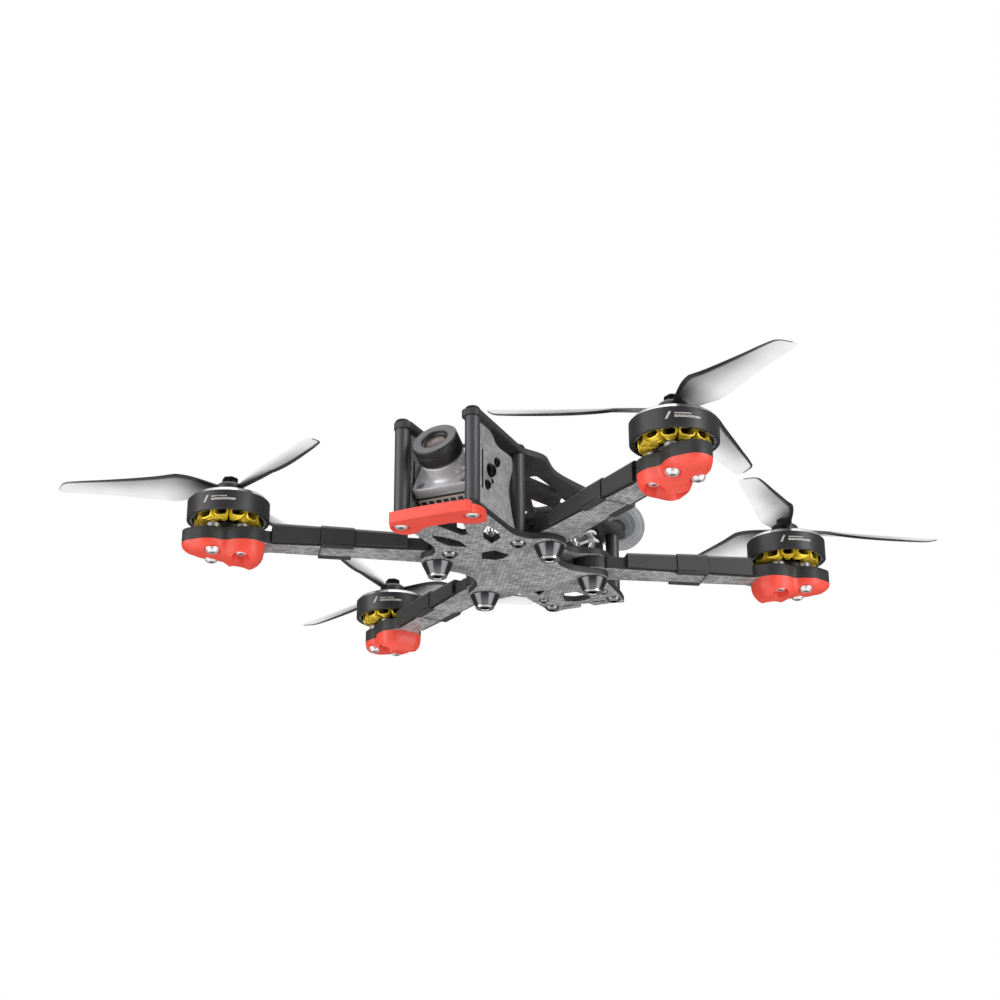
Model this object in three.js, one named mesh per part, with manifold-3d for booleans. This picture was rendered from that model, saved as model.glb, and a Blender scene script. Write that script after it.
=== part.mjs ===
// Racing quadcopter on a 4 inch carbon-fibre X frame, with its motors, propellers, camera and electronics.
// Millimetres, +Z up. The nose points to -Y, so the aircraft's own left is +X.
// The origin is on the underside of the base plate, midway between the four motor axes.

import * as THREE from 'three';
import { mergeVertices } from 'three/addons/utils/BufferGeometryUtils.js';
import Module from 'manifold-3d';

const wasm = await Module();
wasm.setup();

// ---------------------------------------------------------------- driving dimensions

// The frame stack, bottom to top: base plate, arms, mid plate, rear posts, top plate.
const BASE_THICKNESS = 2;
const ARM_THICKNESS = 4;
const MID_THICKNESS = 2;
const REAR_POST_HEIGHT = 20;
const TOP_THICKNESS = 2;
const ARM_BOTTOM = BASE_THICKNESS;
const ARM_TOP = ARM_BOTTOM + ARM_THICKNESS;
const DECK = ARM_TOP + MID_THICKNESS;
const TOP_BOTTOM = DECK + REAR_POST_HEIGHT;
const TOP_FACE = TOP_BOTTOM + TOP_THICKNESS;
const PAD_THICKNESS = 1.25;

// Where the motors and the feet stand. Each arm runs from its foot out to its motor.
const MOTOR_X = 71;
const MOTOR_Y = 53;
const FOOT_X = 18.5;
const FOOT_Y = 17;
const ARM_LENGTH = Math.hypot(MOTOR_X - FOOT_X, MOTOR_Y - FOOT_Y);
const ARM_ANGLE = Math.atan2(MOTOR_Y - FOOT_Y, MOTOR_X - FOOT_X);

// Arms, covers and motor guards, in the arm's own frame: x runs outwards from the foot.
const ROOT_RADIUS = 6;
const ARM_HALF_AT_ROOT = 5.4;
const ARM_HALF_AT_TIP = 3.8;
const PAD_HALF_WIDTH = 7.6;
const PAD_WAIST_HALF = 5.4;
const PAD_LOBE_HALF = 6.6;
const PAD_REACH = 13.4;
const PAD_START = ARM_LENGTH - 11.2;
const COVER_START = 10;
const COVER_END = ARM_LENGTH - 13.2;
const COVER_WALL = 1;
const COVER_TOP = ARM_TOP + 1.6;
const BAND_START = 26;
const BAND_END = 36;
const BAND_PROUD = 0.4;
const BAND_HOOK_DEPTH = 0.4;
const BAND_HOOK_REACH = 1.2;
const GUARD_THICK_INNER = 5.1;
const GUARD_THICK_OUTER = 2;
const GUARD_RIM = 1.6;
const GUARD_INSET = 1.3;
const GUARD_SCREW_SEAT = -0.5;
const FIT_GAP = 0.3;

// Motors: bolt circle, stator, bell and shaft.
const BOLT_CIRCLE_RADIUS = 6;
const BELL_RADIUS = 12.35;
const BELL_RIM = 9.5;
const BELL_TOP = 16.75;
const MAGNET_INNER_RADIUS = 10.7;
const STATOR_RADIUS = 10.2;
const STATOR_BOTTOM = 8;
const STATOR_TOP = 14.5;
const BEARING_TUBE_RADIUS = 3.2;
const SHAFT_RADIUS = 1.5;
const SHAFT_TOP = 21.5;
const PROP_SEAT = 17.25;

// Propellers: 4 inch, three blades.
const PROP_RADIUS = 50.8;
const PROP_PLANE = 19.25;
const HUB_RADIUS = 4.3;
const HUB_TOP = 21.75;
const BLADE_COUNT = 3;
const PROP_PITCH = 50;
const STEEPEST_SLOPE = 0.5;
const NUT_TOP = 24;

// Posts between the plates.
const POST_RADIUS = 2.2;
const FRONT_POST = { x: 11.25, y: -55 };
const MIDDLE_POST = { x: 11.25, y: -23.5 };
const REAR_POST = { x: 11.1, y: 54.5 };

// Feet.
const FOOT_HEIGHT = 4.5;
const FOOT_TOP_RADIUS = 4.7;
const FOOT_TIP_RADIUS = 2.95;

// Camera: its tilt axis, its tilt at rest and its barrel.
const CAMERA_PIVOT_Y = -45;
const CAMERA_PIVOT_Z = 15;
const CAMERA_TILT_DEG = 32;
const CAMERA_HALF_WIDTH = 9.5;
const LENS_FACE = 14.2;
const LENS_RADIUS = 6.9;
const SIDE_PLATE_INNER = 10;
const SIDE_PLATE_THICKNESS = 2;

// Antenna: its axis leaves the rear of the frame at this angle.
const ANTENNA_ANGLE_DEG = 32;
const ANTENNA_ROOT_Y = 51;
const ANTENNA_ROOT_Z = 20.5;
const ANTENNA_HEAD_RADIUS = 9.25;
const ANTENNA_HEAD_START = 44.5;
const ANTENNA_HEAD_LENGTH = 7;

// The corners. spin is the rotor's direction seen from above, 1 for anticlockwise.
// headingDeg is where its first blade points.
const CORNERS = [
  { name: 'front_left', x: 1, y: -1, spin: -1, headingDeg: -36 },
  { name: 'front_right', x: -1, y: -1, spin: 1, headingDeg: 211 },
  { name: 'rear_left', x: 1, y: 1, spin: 1, headingDeg: 274.5 },
  { name: 'rear_right', x: -1, y: 1, spin: -1, headingDeg: 155.5 },
];
const SIDES = [
  { name: 'left', x: 1 },
  { name: 'right', x: -1 },
];

// ---------------------------------------------------------------- materials

function material(color, roughness, metalness) {
  return new THREE.MeshStandardMaterial({ color, roughness, metalness });
}
const LOOKS = {
  carbon: () => material(0x3a3a3c, 0.45, 0),
  cover: () => material(0x2c2c2e, 0.6, 0),
  redRubber: () => material(0xe8473d, 0.55, 0),
  blackMetal: () => material(0x1e1e20, 0.3, 0.8),
  postMetal: () => material(0x4a4a4d, 0.4, 0.7),
  silver: () => material(0xc8c8cb, 0.3, 0.9),
  copper: () => material(0xc89a2e, 0.35, 0.9),
  bell: () => material(0x3f4042, 0.35, 0.8),
  smoke: () => material(0x6f7073, 0.2, 0),
  blackPlastic: () => material(0x151516, 0.4, 0),
  board: () => material(0x17181a, 0.5, 0),
  foam: () => material(0x242425, 0.9, 0),
  antennaShell: () => material(0x9b9c9e, 0.35, 0),
};

// ---------------------------------------------------------------- solids

// A closed three.js geometry as a solid that can be joined and cut.
function solid(geometry) {
  const bare = geometry.clone();
  bare.deleteAttribute('normal');
  bare.deleteAttribute('uv');
  const merged = mergeVertices(bare, 1e-4);
  const mesh = new wasm.Mesh({
    numProp: 3,
    vertProperties: new Float32Array(merged.attributes.position.array),
    triVerts: new Uint32Array(merged.index.array),
  });
  return new wasm.Manifold(mesh);
}

function geometryOf(body) {
  const mesh = body.getMesh();
  const geometry = new THREE.BufferGeometry();
  geometry.setAttribute('position', new THREE.BufferAttribute(new Float32Array(mesh.vertProperties), 3));
  geometry.setIndex(new THREE.BufferAttribute(new Uint32Array(mesh.triVerts), 1));
  geometry.computeVertexNormals();
  return geometry;
}

function piece(name, body, look) {
  const mesh = new THREE.Mesh(geometryOf(body), look);
  mesh.name = name;
  return mesh;
}

const join = (first, ...others) => others.reduce((sum, other) => sum.add(other), first);
const cut = (first, ...others) => others.reduce((sum, other) => sum.subtract(other), first);

// A flat shape pulled up from z = bottom.
function slab(shape, bottom, thickness, curveSegments = 3) {
  const geometry = new THREE.ExtrudeGeometry(shape, { depth: thickness, bevelEnabled: false, curveSegments });
  return solid(geometry.translate(0, 0, bottom));
}

// An upright round rod from z = bottom to z = top.
function rod(radius, bottom, top, x = 0, y = 0, segments = 16) {
  const geometry = new THREE.CylinderGeometry(radius, radius, top - bottom, segments);
  return solid(geometry.rotateX(Math.PI / 2).translate(x, y, (bottom + top) / 2));
}

function block(x0, x1, y0, y1, z0, z1) {
  const geometry = new THREE.BoxGeometry(x1 - x0, y1 - y0, z1 - z0);
  return solid(geometry.translate((x0 + x1) / 2, (y0 + y1) / 2, (z0 + z1) / 2));
}

// A solid turned about Z from [radius, z] points that start and end on the axis, listed bottom to top.
function turned(points, segments = 20) {
  const profile = points.map(([radius, z]) => new THREE.Vector2(radius, z));
  return solid(new THREE.LatheGeometry(profile, segments).rotateX(Math.PI / 2));
}

// A closed outline through [x, y, cornerRadius] points. A corner's rounding never takes half of a side.
function roundedShape(points, Kind = THREE.Shape) {
  const shape = new Kind();
  points.forEach(([x, y, radius = 0], i) => {
    const corner = new THREE.Vector2(x, y);
    const before = new THREE.Vector2(...points.at(i - 1)).sub(corner);
    const after = new THREE.Vector2(...points[(i + 1) % points.length]).sub(corner);
    const reach = Math.min(radius, 0.48 * before.length(), 0.48 * after.length());
    const start = corner.clone().add(before.setLength(reach));
    const end = corner.clone().add(after.setLength(reach));
    if (i === 0) shape.moveTo(start.x, start.y);
    else shape.lineTo(start.x, start.y);
    if (reach > 0) shape.quadraticCurveTo(corner.x, corner.y, end.x, end.y);
  });
  shape.closePath();
  return shape;
}

// The full outline from its +X half, listed from the front to the rear.
const mirrored = (half) => [...half, ...half.map(([x, y, radius]) => [-x, y, radius]).reverse()];
const bothSides = (points) => SIDES.map(({ x }) => points.map(([px, py, radius]) => [x * px, py, radius]));

const roundHole = (x, y, radius) => new THREE.Path().absarc(x, y, radius, 0, 2 * Math.PI, true);

function withHoles(shape, paths) {
  shape.holes.push(...paths);
  return shape;
}

const everyCorner = (x, y) => CORNERS.map((corner) => [corner.x * x, corner.y * y]);

// ---------------------------------------------------------------- frame plates

const SCREW_HOLE = 1.6;
const WAIST_HALF = 8;

function basePlate() {
  const outline = mirrored([
    [4, -58, 1], [13.2, -58, 4], [12.8, -30, 6], [15.6, -24.5, 3], [21, -23.5, 5], [24.5, -16, 5],
    [16, -6, 7], [14.2, 0, 5], [16, 7, 7], [24.5, 15.5, 5], [21.5, 22.5, 5], [13.5, 22.5, 3], [9, 20.5, 2],
  ]);
  const slots = [
    ...bothSides([
      [9.1, -40.2, 0.6], [5.9, -36.4, 0.4], [3.8, -31.8, 0.4],
      [3.9, -26.3, 0.5], [8.4, -29.6, 0.4], [9.8, -35, 0.4],
    ]),
    mirrored([[4.6, -48.5, 0.8], [0.9, -36.3, 0.6]]),
    mirrored([[2, -20.3, 0.4], [4.6, -15, 0.4], [1.2, -12.4, 0.4]]),
  ].map((points) => roundedShape(points, THREE.Path));
  const holes = [
    ...everyCorner(FOOT_X, FOOT_Y),
    ...SIDES.flatMap(({ x }) => [[x * FRONT_POST.x, FRONT_POST.y], [x * MIDDLE_POST.x, MIDDLE_POST.y]]),
  ].map(([x, y]) => roundHole(x, y, SCREW_HOLE));
  const plate = slab(withHoles(roundedShape(outline), [...slots, ...holes]), 0, BASE_THICKNESS);
  // The waist is rebuilt on its own, so that the flat patch round the origin ends short of the feet.
  const waist = block(-30, 30, -WAIST_HALF, WAIST_HALF, -1, BASE_THICKNESS + 1);
  return join(cut(plate, waist), solid(geometryOf(plate.intersect(waist))));
}

function midPlate() {
  const outline = mirrored([
    [7, -9.5, 2.5], [8.6, -19, 2], [13, -22.3, 3], [24, -22.3, 5.3], [24, -11.7, 5.3], [16, -5.5, 6],
    [14.8, 1, 5], [16, 7.5, 6], [24, 11.7, 5.3], [24, 22.3, 5.3], [17.2, 24, 4], [15.2, 37, 8],
    [14, 54, 3], [12.7, 60.8, 2.5], [9.5, 59, 3], [2.2, 59, 1], [1.6, 56, 0.6],
  ]);
  const slots = [
    ...bothSides([[10.1, 33.8, 0.5], [5.4, 31.6, 0.4], [5.2, 36.2, 0.4], [10.1, 41.3, 0.5]]),
    ...bothSides([[3.6, 55, 0.2], [7.4, 55, 0.2], [7.4, 56, 0.2], [3.6, 56, 0.2]]),
    mirrored([[2.4, 43, 0.6], [4.8, 50.4, 0.8], [2, 52.4, 0.6]]),
    mirrored([[6, -4.5, 2], [6, 10, 2]]),
  ].map((points) => roundedShape(points, THREE.Path));
  const holes = [
    ...everyCorner(FOOT_X, FOOT_Y),
    ...SIDES.flatMap(({ x }) => [[x * REAR_POST.x, REAR_POST.y], [x * 10.6, 46.5]]),
  ].map(([x, y]) => roundHole(x, y, SCREW_HOLE));
  return slab(withHoles(roundedShape(outline), [...slots, ...holes]), ARM_TOP, MID_THICKNESS);
}

// Two prongs hold the front posts and leave the camera free to tilt between them.
function topPlate() {
  const outline = mirrored([
    [8.1, -34, 5], [8.1, -57.4, 2.9], [13.8, -57.4, 3], [13.2, -24, 2], [17.4, -16, 3.5], [14.6, -3, 9],
    [16.4, 7, 4], [18.6, 16, 3], [13.4, 34, 9], [13.4, 44, 4], [15, 59.5, 3.2], [8, 58.5, 2],
  ]);
  const teardrops = [
    ...bothSides([[5.4, -5, 1.6], [9.6, -6, 1.8], [10.2, 8, 0.6]]),
    ...bothSides([[5.2, 22, 0.8], [9.4, 15, 1.2], [9.8, 30, 1.6]]),
    [[0, 11.5, 0.6], [4.2, 24, 2.6], [-4.2, 24, 2.6]],
    mirrored([[1.6, 28.4, 0.4], [3, 38, 0.8]]),
  ].map((points) => roundedShape(points, THREE.Path));
  const holes = [FRONT_POST, MIDDLE_POST, REAR_POST]
    .flatMap(({ x, y }) => [roundHole(x, y, SCREW_HOLE), roundHole(-x, y, SCREW_HOLE)]);
  return slab(withHoles(roundedShape(outline), [...teardrops, ...holes]), TOP_BOTTOM, TOP_THICKNESS);
}

// Upright carbon plate beside the camera, drawn as [y, z] and then stood up with its thickness along X.
function cameraSidePlate(side) {
  const outline = roundedShape([
    [-52, 2], [-26.8, 2], [-30, 8, 5], [-32, 14, 3], [-28.6, 21.5, 3], [-29, 25, 1.5], [-40, 24.5, 9],
    [-44, 27.9, 2], [-52, 27.9],
  ]);
  withHoles(outline, [
    roundHole(CAMERA_PIVOT_Y, CAMERA_PIVOT_Z, 1.4),
    roundHole(CAMERA_PIVOT_Y + 4.6, CAMERA_PIVOT_Z + 4.2, 1),
    roundHole(CAMERA_PIVOT_Y + 2, CAMERA_PIVOT_Z - 2.4, 0.8),
  ]);
  const upright = new THREE.ExtrudeGeometry(outline, {
    depth: SIDE_PLATE_THICKNESS,
    bevelEnabled: false,
    curveSegments: 3,
  });
  // Turn the sheet so that its own x, y and thickness become Y, Z and X.
  upright.applyMatrix4(new THREE.Matrix4().set(0, 0, 1, 0, 1, 0, 0, 0, 0, 1, 0, 0, 0, 0, 0, 1));
  const innerFace = side > 0 ? SIDE_PLATE_INNER : -SIDE_PLATE_INNER - SIDE_PLATE_THICKNESS;
  return solid(upright.translate(innerFace, 0, 0));
}

// ---------------------------------------------------------------- arms

// Half the arm's width at a distance x from the foot, between the root and the motor pad.
function armHalfWidth(x) {
  const share = THREE.MathUtils.clamp((x - ROOT_RADIUS) / (PAD_START - ROOT_RADIUS), 0, 1);
  return THREE.MathUtils.lerp(ARM_HALF_AT_ROOT, ARM_HALF_AT_TIP, share);
}

// The motor pad's outline, which the guard below it shares: two lobes with a waist at the motor's axis.
function padShape(inset = 0) {
  const wide = PAD_HALF_WIDTH - inset;
  const waist = PAD_WAIST_HALF - inset;
  const lobe = PAD_LOBE_HALF - inset;
  const inner = PAD_START + inset;
  const outer = ARM_LENGTH + PAD_REACH - inset;
  const side = [
    [inner, 4.4 - inset, 1.5], [ARM_LENGTH - 8, wide, 4.5], [ARM_LENGTH - 3, wide, 4],
    [ARM_LENGTH + 0.8, waist, 4.5], [ARM_LENGTH + 3.8, lobe, 4], [ARM_LENGTH + 7.2, lobe, 5], [outer, 2.8, 4],
  ];
  const otherSide = side.map(([x, y, radius]) => [x, -y, radius]);
  return roundedShape([...otherSide, ...side.reverse()]);
}

const boltPlaces = () => [45, 135, 225, 315].map((deg) => {
  const angle = THREE.MathUtils.degToRad(deg);
  return [ARM_LENGTH + BOLT_CIRCLE_RADIUS * Math.cos(angle), BOLT_CIRCLE_RADIUS * Math.sin(angle)];
});

function arm() {
  const beamEnd = ARM_LENGTH - 6;
  const beam = roundedShape([
    [0, -ARM_HALF_AT_ROOT], [beamEnd, -ARM_HALF_AT_TIP], [beamEnd, ARM_HALF_AT_TIP], [0, ARM_HALF_AT_ROOT],
  ]);
  const body = join(
    rod(ROOT_RADIUS, ARM_BOTTOM, ARM_TOP),
    slab(beam, ARM_BOTTOM, ARM_THICKNESS),
    slab(padShape(), ARM_BOTTOM, ARM_THICKNESS),
  );
  const bores = boltPlaces().map(([x, y]) => rod(1.1, 0, COVER_TOP, x, y, 6));
  const footBore = rod(SCREW_HOLE, 0, COVER_TOP, 0, 0, 8);
  const shaftBore = rod(2.5, 0, COVER_TOP, ARM_LENGTH, 0, 10);
  return cut(body, footBore, shaftBore, ...bores);
}

// A channel that clips over the arm and hides the motor wires. Its band hooks under the arm's edges.
function armCover() {
  const strip = (x0, x1, margin) => roundedShape([
    [x0, -armHalfWidth(x0) - margin], [x1, -armHalfWidth(x1) - margin],
    [x1, armHalfWidth(x1) + margin], [x0, armHalfWidth(x0) + margin],
  ]);
  const outer = FIT_GAP + COVER_WALL;
  const hookBottom = ARM_BOTTOM - BAND_HOOK_DEPTH;
  const channel = slab(strip(COVER_START, COVER_END, outer), ARM_BOTTOM, COVER_TOP - ARM_BOTTOM);
  const bandShape = strip(BAND_START, BAND_END, outer + BAND_PROUD);
  const band = slab(bandShape, hookBottom, COVER_TOP + BAND_PROUD - hookBottom);
  const groove = slab(strip(COVER_START - 1, COVER_END + 1, FIT_GAP), ARM_BOTTOM, ARM_THICKNESS);
  const openBelow = slab(strip(BAND_START - 1, BAND_END + 1, -BAND_HOOK_REACH), 0, ARM_BOTTOM + 1);
  return cut(join(channel, band), groove, openBelow);
}

// A soft skid under the motor pad, thicker towards the body. Each screw has a recess and a sloping groove.
function motorGuard() {
  const lowest = ARM_BOTTOM - GUARD_THICK_INNER;
  const recessTop = GUARD_SCREW_SEAT;
  const upper = slab(padShape(), ARM_BOTTOM - GUARD_RIM, GUARD_RIM, 2);
  const lower = slab(padShape(GUARD_INSET), lowest, GUARD_THICK_INNER - 1, 2);
  const slope = Math.atan2(GUARD_THICK_INNER - GUARD_THICK_OUTER, ARM_LENGTH + PAD_REACH - PAD_START);
  const wedge = new THREE.BoxGeometry(80, 40, 10).translate(0, 0, -5).rotateY(-slope)
    .translate(ARM_LENGTH + PAD_REACH, 0, ARM_BOTTOM - GUARD_THICK_OUTER);
  const recesses = boltPlaces().flatMap(([x, y]) => {
    const groove = new THREE.CylinderGeometry(2.1, 2.5, 7, 6).translate(0, -3.5, 0).rotateX(Math.PI / 2)
      .rotateX(Math.sign(y) * THREE.MathUtils.degToRad(52)).translate(x, y, recessTop);
    return [rod(2.3, lowest - 1, recessTop, x, y, 8), solid(groove), rod(1.2, lowest, 3, x, y, 6)];
  });
  return cut(join(upper, lower), solid(wedge), ...recesses);
}

// ---------------------------------------------------------------- motors

function motorBase() {
  const lug = (deg) => {
    const angle = THREE.MathUtils.degToRad(deg);
    const [x, y] = [BOLT_CIRCLE_RADIUS * Math.cos(angle), BOLT_CIRCLE_RADIUS * Math.sin(angle)];
    return rod(2.4, ARM_TOP, ARM_TOP + 1.5, x, y, 6);
  };
  const lugs = [45, 135, 225, 315].map(lug);
  const tube = rod(BEARING_TUBE_RADIUS, ARM_TOP, STATOR_TOP + 0.25, 0, 0, 12);
  const disc = rod(6, ARM_TOP, ARM_TOP + 1.5, 0, 0, 12);
  return cut(join(disc, ...lugs, tube), rod(SHAFT_RADIUS + FIT_GAP, 0, BELL_TOP, 0, 0, 10));
}

// Twelve wound teeth on a ring, with the wire bulging past the teeth at both ends.
function motorStator() {
  const teeth = 12;
  const outline = new THREE.Shape();
  for (let i = 0; i < teeth; i += 1) {
    const at = (share, radius) => {
      const angle = (2 * Math.PI * (i + share)) / teeth;
      return [radius * Math.cos(angle), radius * Math.sin(angle)];
    };
    if (i === 0) outline.moveTo(...at(0.06, STATOR_RADIUS - 1.6));
    else outline.lineTo(...at(0.06, STATOR_RADIUS - 1.6));
    outline.lineTo(...at(0.12, STATOR_RADIUS));
    outline.lineTo(...at(0.88, STATOR_RADIUS));
    outline.lineTo(...at(0.94, STATOR_RADIUS - 1.6));
  }
  outline.closePath();
  const ring = slab(outline, STATOR_BOTTOM, STATOR_TOP - STATOR_BOTTOM);
  return cut(ring, rod(BEARING_TUBE_RADIUS + FIT_GAP, 0, BELL_TOP, 0, 0, 12));
}

// The turning bell with its magnet ring, its prop seat and the shaft that runs down into the bearings.
function motorBell() {
  return turned([
    [0, ARM_TOP + 1], [SHAFT_RADIUS, ARM_TOP + 1], [SHAFT_RADIUS, BELL_TOP - 1.5],
    [MAGNET_INNER_RADIUS, BELL_TOP - 1.5], [MAGNET_INNER_RADIUS, BELL_RIM], [BELL_RADIUS, BELL_RIM],
    [BELL_RADIUS, BELL_TOP - 1.25], [BELL_RADIUS - 1.25, BELL_TOP], [HUB_RADIUS + 0.4, BELL_TOP],
    [HUB_RADIUS, PROP_SEAT], [SHAFT_RADIUS, PROP_SEAT], [SHAFT_RADIUS, SHAFT_TOP], [0, SHAFT_TOP],
  ], 18);
}

// ---------------------------------------------------------------- propellers

// A blade from its root to its tip: share of the radius, then its leading and trailing edges beside its axis.
const BLADE_EDGES = [
  [0.07, 2.6, -1.6], [0.22, 5.3, -2.9], [0.32, 6.1, -3.9], [0.42, 5.8, -4.2], [0.58, 5.1, -3.9],
  [0.75, 4.1, -3.7], [0.9, 3.1, -3.6], [0.97, 1.9, -3.5], [1, -1.4, -3.2],
];

// One blade's cross-section: a thin cambered ring of points. The leading edge looks towards +Y.
function bladeSection([share, lead, trail]) {
  const reach = share * PROP_RADIUS;
  const slope = Math.min(STEEPEST_SLOPE, PROP_PITCH / (2 * Math.PI * reach));
  const thickness = THREE.MathUtils.lerp(1.3, 0.7, share);
  const count = 6;
  return Array.from({ length: count }, (_, i) => {
    const turn = (2 * Math.PI * i) / count;
    const along = (lead + trail) / 2 + ((lead - trail) / 2) * Math.cos(turn);
    const camber = 0.05 * (lead - trail) * Math.sin(turn / 2);
    const height = PROP_PLANE + along * slope + camber + (thickness / 2) * Math.sin(turn);
    return new THREE.Vector3(reach, along, height);
  });
}

// A closed skin over a row of equal rings of points.
function loft(rings) {
  const count = rings[0].length;
  const points = rings.flat();
  const middle = (ring) => ring.reduce((sum, p) => sum.add(p), new THREE.Vector3()).divideScalar(count);
  points.push(middle(rings[0]), middle(rings.at(-1)));
  const triangles = [];
  for (let k = 0; k < count; k += 1) {
    const next = (k + 1) % count;
    for (let r = 0; r + 1 < rings.length; r += 1) {
      const [a, b, c, d] = [r * count + k, r * count + next, (r + 1) * count + k, (r + 1) * count + next];
      triangles.push(a, b, d, a, d, c);
    }
    const last = (rings.length - 1) * count;
    triangles.push(points.length - 2, next, k, points.length - 1, last + k, last + next);
  }
  const geometry = new THREE.BufferGeometry().setFromPoints(points);
  geometry.setIndex(triangles);
  return geometry;
}

// A propeller that pulls upwards when it turns anticlockwise. The mirror image turns clockwise.
function propeller(spin) {
  const blade = solid(loft(BLADE_EDGES.map(bladeSection)));
  const blades = Array.from({ length: BLADE_COUNT }, (_, i) => blade.rotate([0, 0, (360 / BLADE_COUNT) * i]));
  const hub = rod(HUB_RADIUS, PROP_SEAT, HUB_TOP, 0, 0, 12);
  const bore = rod(SHAFT_RADIUS + FIT_GAP, 0, HUB_TOP + 3, 0, 0, 8);
  const below = rod(HUB_RADIUS * 3, 0, PROP_SEAT, 0, 0, 8);
  const body = cut(join(...blades, hub), bore, below);
  return spin > 0 ? body : body.mirror([0, 1, 0]);
}

const propNut = () => turned([
  [0, HUB_TOP], [2.6, HUB_TOP], [2.6, HUB_TOP + 1], [1.6, NUT_TOP - 0.25], [0, NUT_TOP],
], 10);

// ---------------------------------------------------------------- feet, posts and bumper

function foot() {
  return turned([
    [0, 1.4 - FOOT_HEIGHT], [1.4, 1.4 - FOOT_HEIGHT], [1.4, -FOOT_HEIGHT],
    [FOOT_TIP_RADIUS - 0.25, -FOOT_HEIGHT], [FOOT_TIP_RADIUS, 0.25 - FOOT_HEIGHT],
    [FOOT_TOP_RADIUS, -0.5], [FOOT_TOP_RADIUS - 0.25, 0], [0, 0],
  ], 12);
}

const post = (bottom) => rod(POST_RADIUS, bottom, TOP_BOTTOM, 0, 0, 12);

// The soft nose piece: a plate under the base plate's front end, with a lip in front of it.
function frontBumper() {
  const tray = roundedShape(mirrored([
    [5, -60, 5], [13, -59.6, 3], [14.8, -54, 2.5], [13.2, -49.4, 2], [8.4, -49.6, 2], [4.6, -53, 2],
  ]));
  const lip = roundedShape(mirrored([[5, -61, 5], [12.6, -60.4, 2], [12.8, -58.4, 0.4]]));
  const chamfer = new THREE.BoxGeometry(60, 6, 6).rotateX(Math.PI / 4).translate(0, -64, -3.6);
  const heads = SIDES.map(({ x }) => rod(2.7, -4, -1.25, x * FRONT_POST.x, FRONT_POST.y, 10));
  const bores = SIDES.map(({ x }) => rod(SCREW_HOLE, -4, 1, x * FRONT_POST.x, FRONT_POST.y, 8));
  const lipTop = 0.75;
  return cut(join(slab(tray, -2.5, 2.5), slab(lip, -2.5, 2.5 + lipTop)), solid(chamfer), ...heads, ...bores);
}

// ---------------------------------------------------------------- camera

// Its pieces look along -Y here. The assembly tilts them about the camera's pivot.

// Silver flange with four ears and a neck that tapers towards the lens.
function cameraHousing() {
  const flange = roundedShape(mirrored([[CAMERA_HALF_WIDTH, -9, 2], [CAMERA_HALF_WIDTH, 9, 2]]));
  const ears = everyCorner(7.3, 6.8).map(([x, y]) => roundHole(x, y, 1));
  const neck = turned([[0, 3], [7, 3], [6.2, 4.6], [6.4, 8.6], [0, 8.6]], 16);
  const bridge = block(-CAMERA_HALF_WIDTH, CAMERA_HALF_WIDTH, -3, 3, -3, 1);
  const forward = join(slab(withHoles(flange, ears), 0.5, 3, 2), neck, bridge);
  return faceForward(cut(forward, ...sideThreads()));
}

// The two threaded sockets that the side screws enter.
function sideThreads() {
  return SIDES.map(({ x }) => {
    const socket = new THREE.CylinderGeometry(1.3, 1.3, 4, 8).rotateZ(Math.PI / 2);
    return solid(socket.translate(x * CAMERA_HALF_WIDTH, 0, 0));
  });
}

// Drawn with the lens along +Z, and turned here to look along -Y with its top up.
const faceForward = (body) => body.rotate([90, 0, 0]);

function lensBarrel() {
  return faceForward(turned([
    [0, 8.9], [6, 8.9], [LENS_RADIUS, 9.9], [LENS_RADIUS, LENS_FACE - 0.3], [LENS_RADIUS - 0.3, LENS_FACE],
    [4, LENS_FACE], [3.6, LENS_FACE - 1], [0, LENS_FACE - 0.4],
  ], 18));
}

const cameraCircuit = () => faceForward(join(
  block(-8.5, 8.5, -8, 8, -5, -3.3),
  block(-9, 9, -8.5, 8.5, -7.5, -5),
  block(-5, 5, -7, -3, -10, -7.5),
));

// A side screw: its shank enters the housing and its head stands outside the side plate.
function cameraScrew(side) {
  const plateOuter = SIDE_PLATE_INNER + SIDE_PLATE_THICKNESS;
  const shankLength = plateOuter + 2 - CAMERA_HALF_WIDTH;
  const shank = new THREE.CylinderGeometry(1, 1, shankLength, 8).rotateZ(Math.PI / 2)
    .translate((plateOuter + CAMERA_HALF_WIDTH) / 2 + 0.2, 0, 0);
  const head = new THREE.CylinderGeometry(2.1, 2.1, 1.4, 12).rotateZ(Math.PI / 2)
    .translate(plateOuter + FIT_GAP + 0.7, 0, 0);
  const screw = join(solid(shank), solid(head));
  return side > 0 ? screw : screw.mirror([1, 0, 0]);
}

// ---------------------------------------------------------------- electronics and antenna

const STACK_Y = 13;
const STACK_HOLE = 10;
const POWER_BOARD_BOTTOM = 9;
const CONTROLLER_BOTTOM = 12.5;
const BOARD_THICKNESS = 1.25;
const TRANSMITTER_BOTTOM = 22;

// The lower board, with its chips, its two solder-pad rows and the four spacers that carry the upper board.
function speedController() {
  const board = roundedShape(mirrored([[13.5, STACK_Y - 13, 2], [13.5, STACK_Y + 13, 2]]));
  const spacers = everyCorner(STACK_HOLE, STACK_HOLE)
    .map(([x, y]) => rod(1.9, DECK, CONTROLLER_BOTTOM, x, STACK_Y + y, 8));
  const partsBottom = POWER_BOARD_BOTTOM + 1;
  return join(
    slab(board, POWER_BOARD_BOTTOM, BOARD_THICKNESS, 2),
    block(-5, 5, STACK_Y + 2, STACK_Y + 9, partsBottom, partsBottom + 1.5),
    block(-12.5, -10.8, STACK_Y - 5, STACK_Y + 5, partsBottom, partsBottom + 1),
    block(10.8, 12.5, STACK_Y - 5, STACK_Y + 5, partsBottom, partsBottom + 1),
    ...spacers,
  );
}

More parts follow.
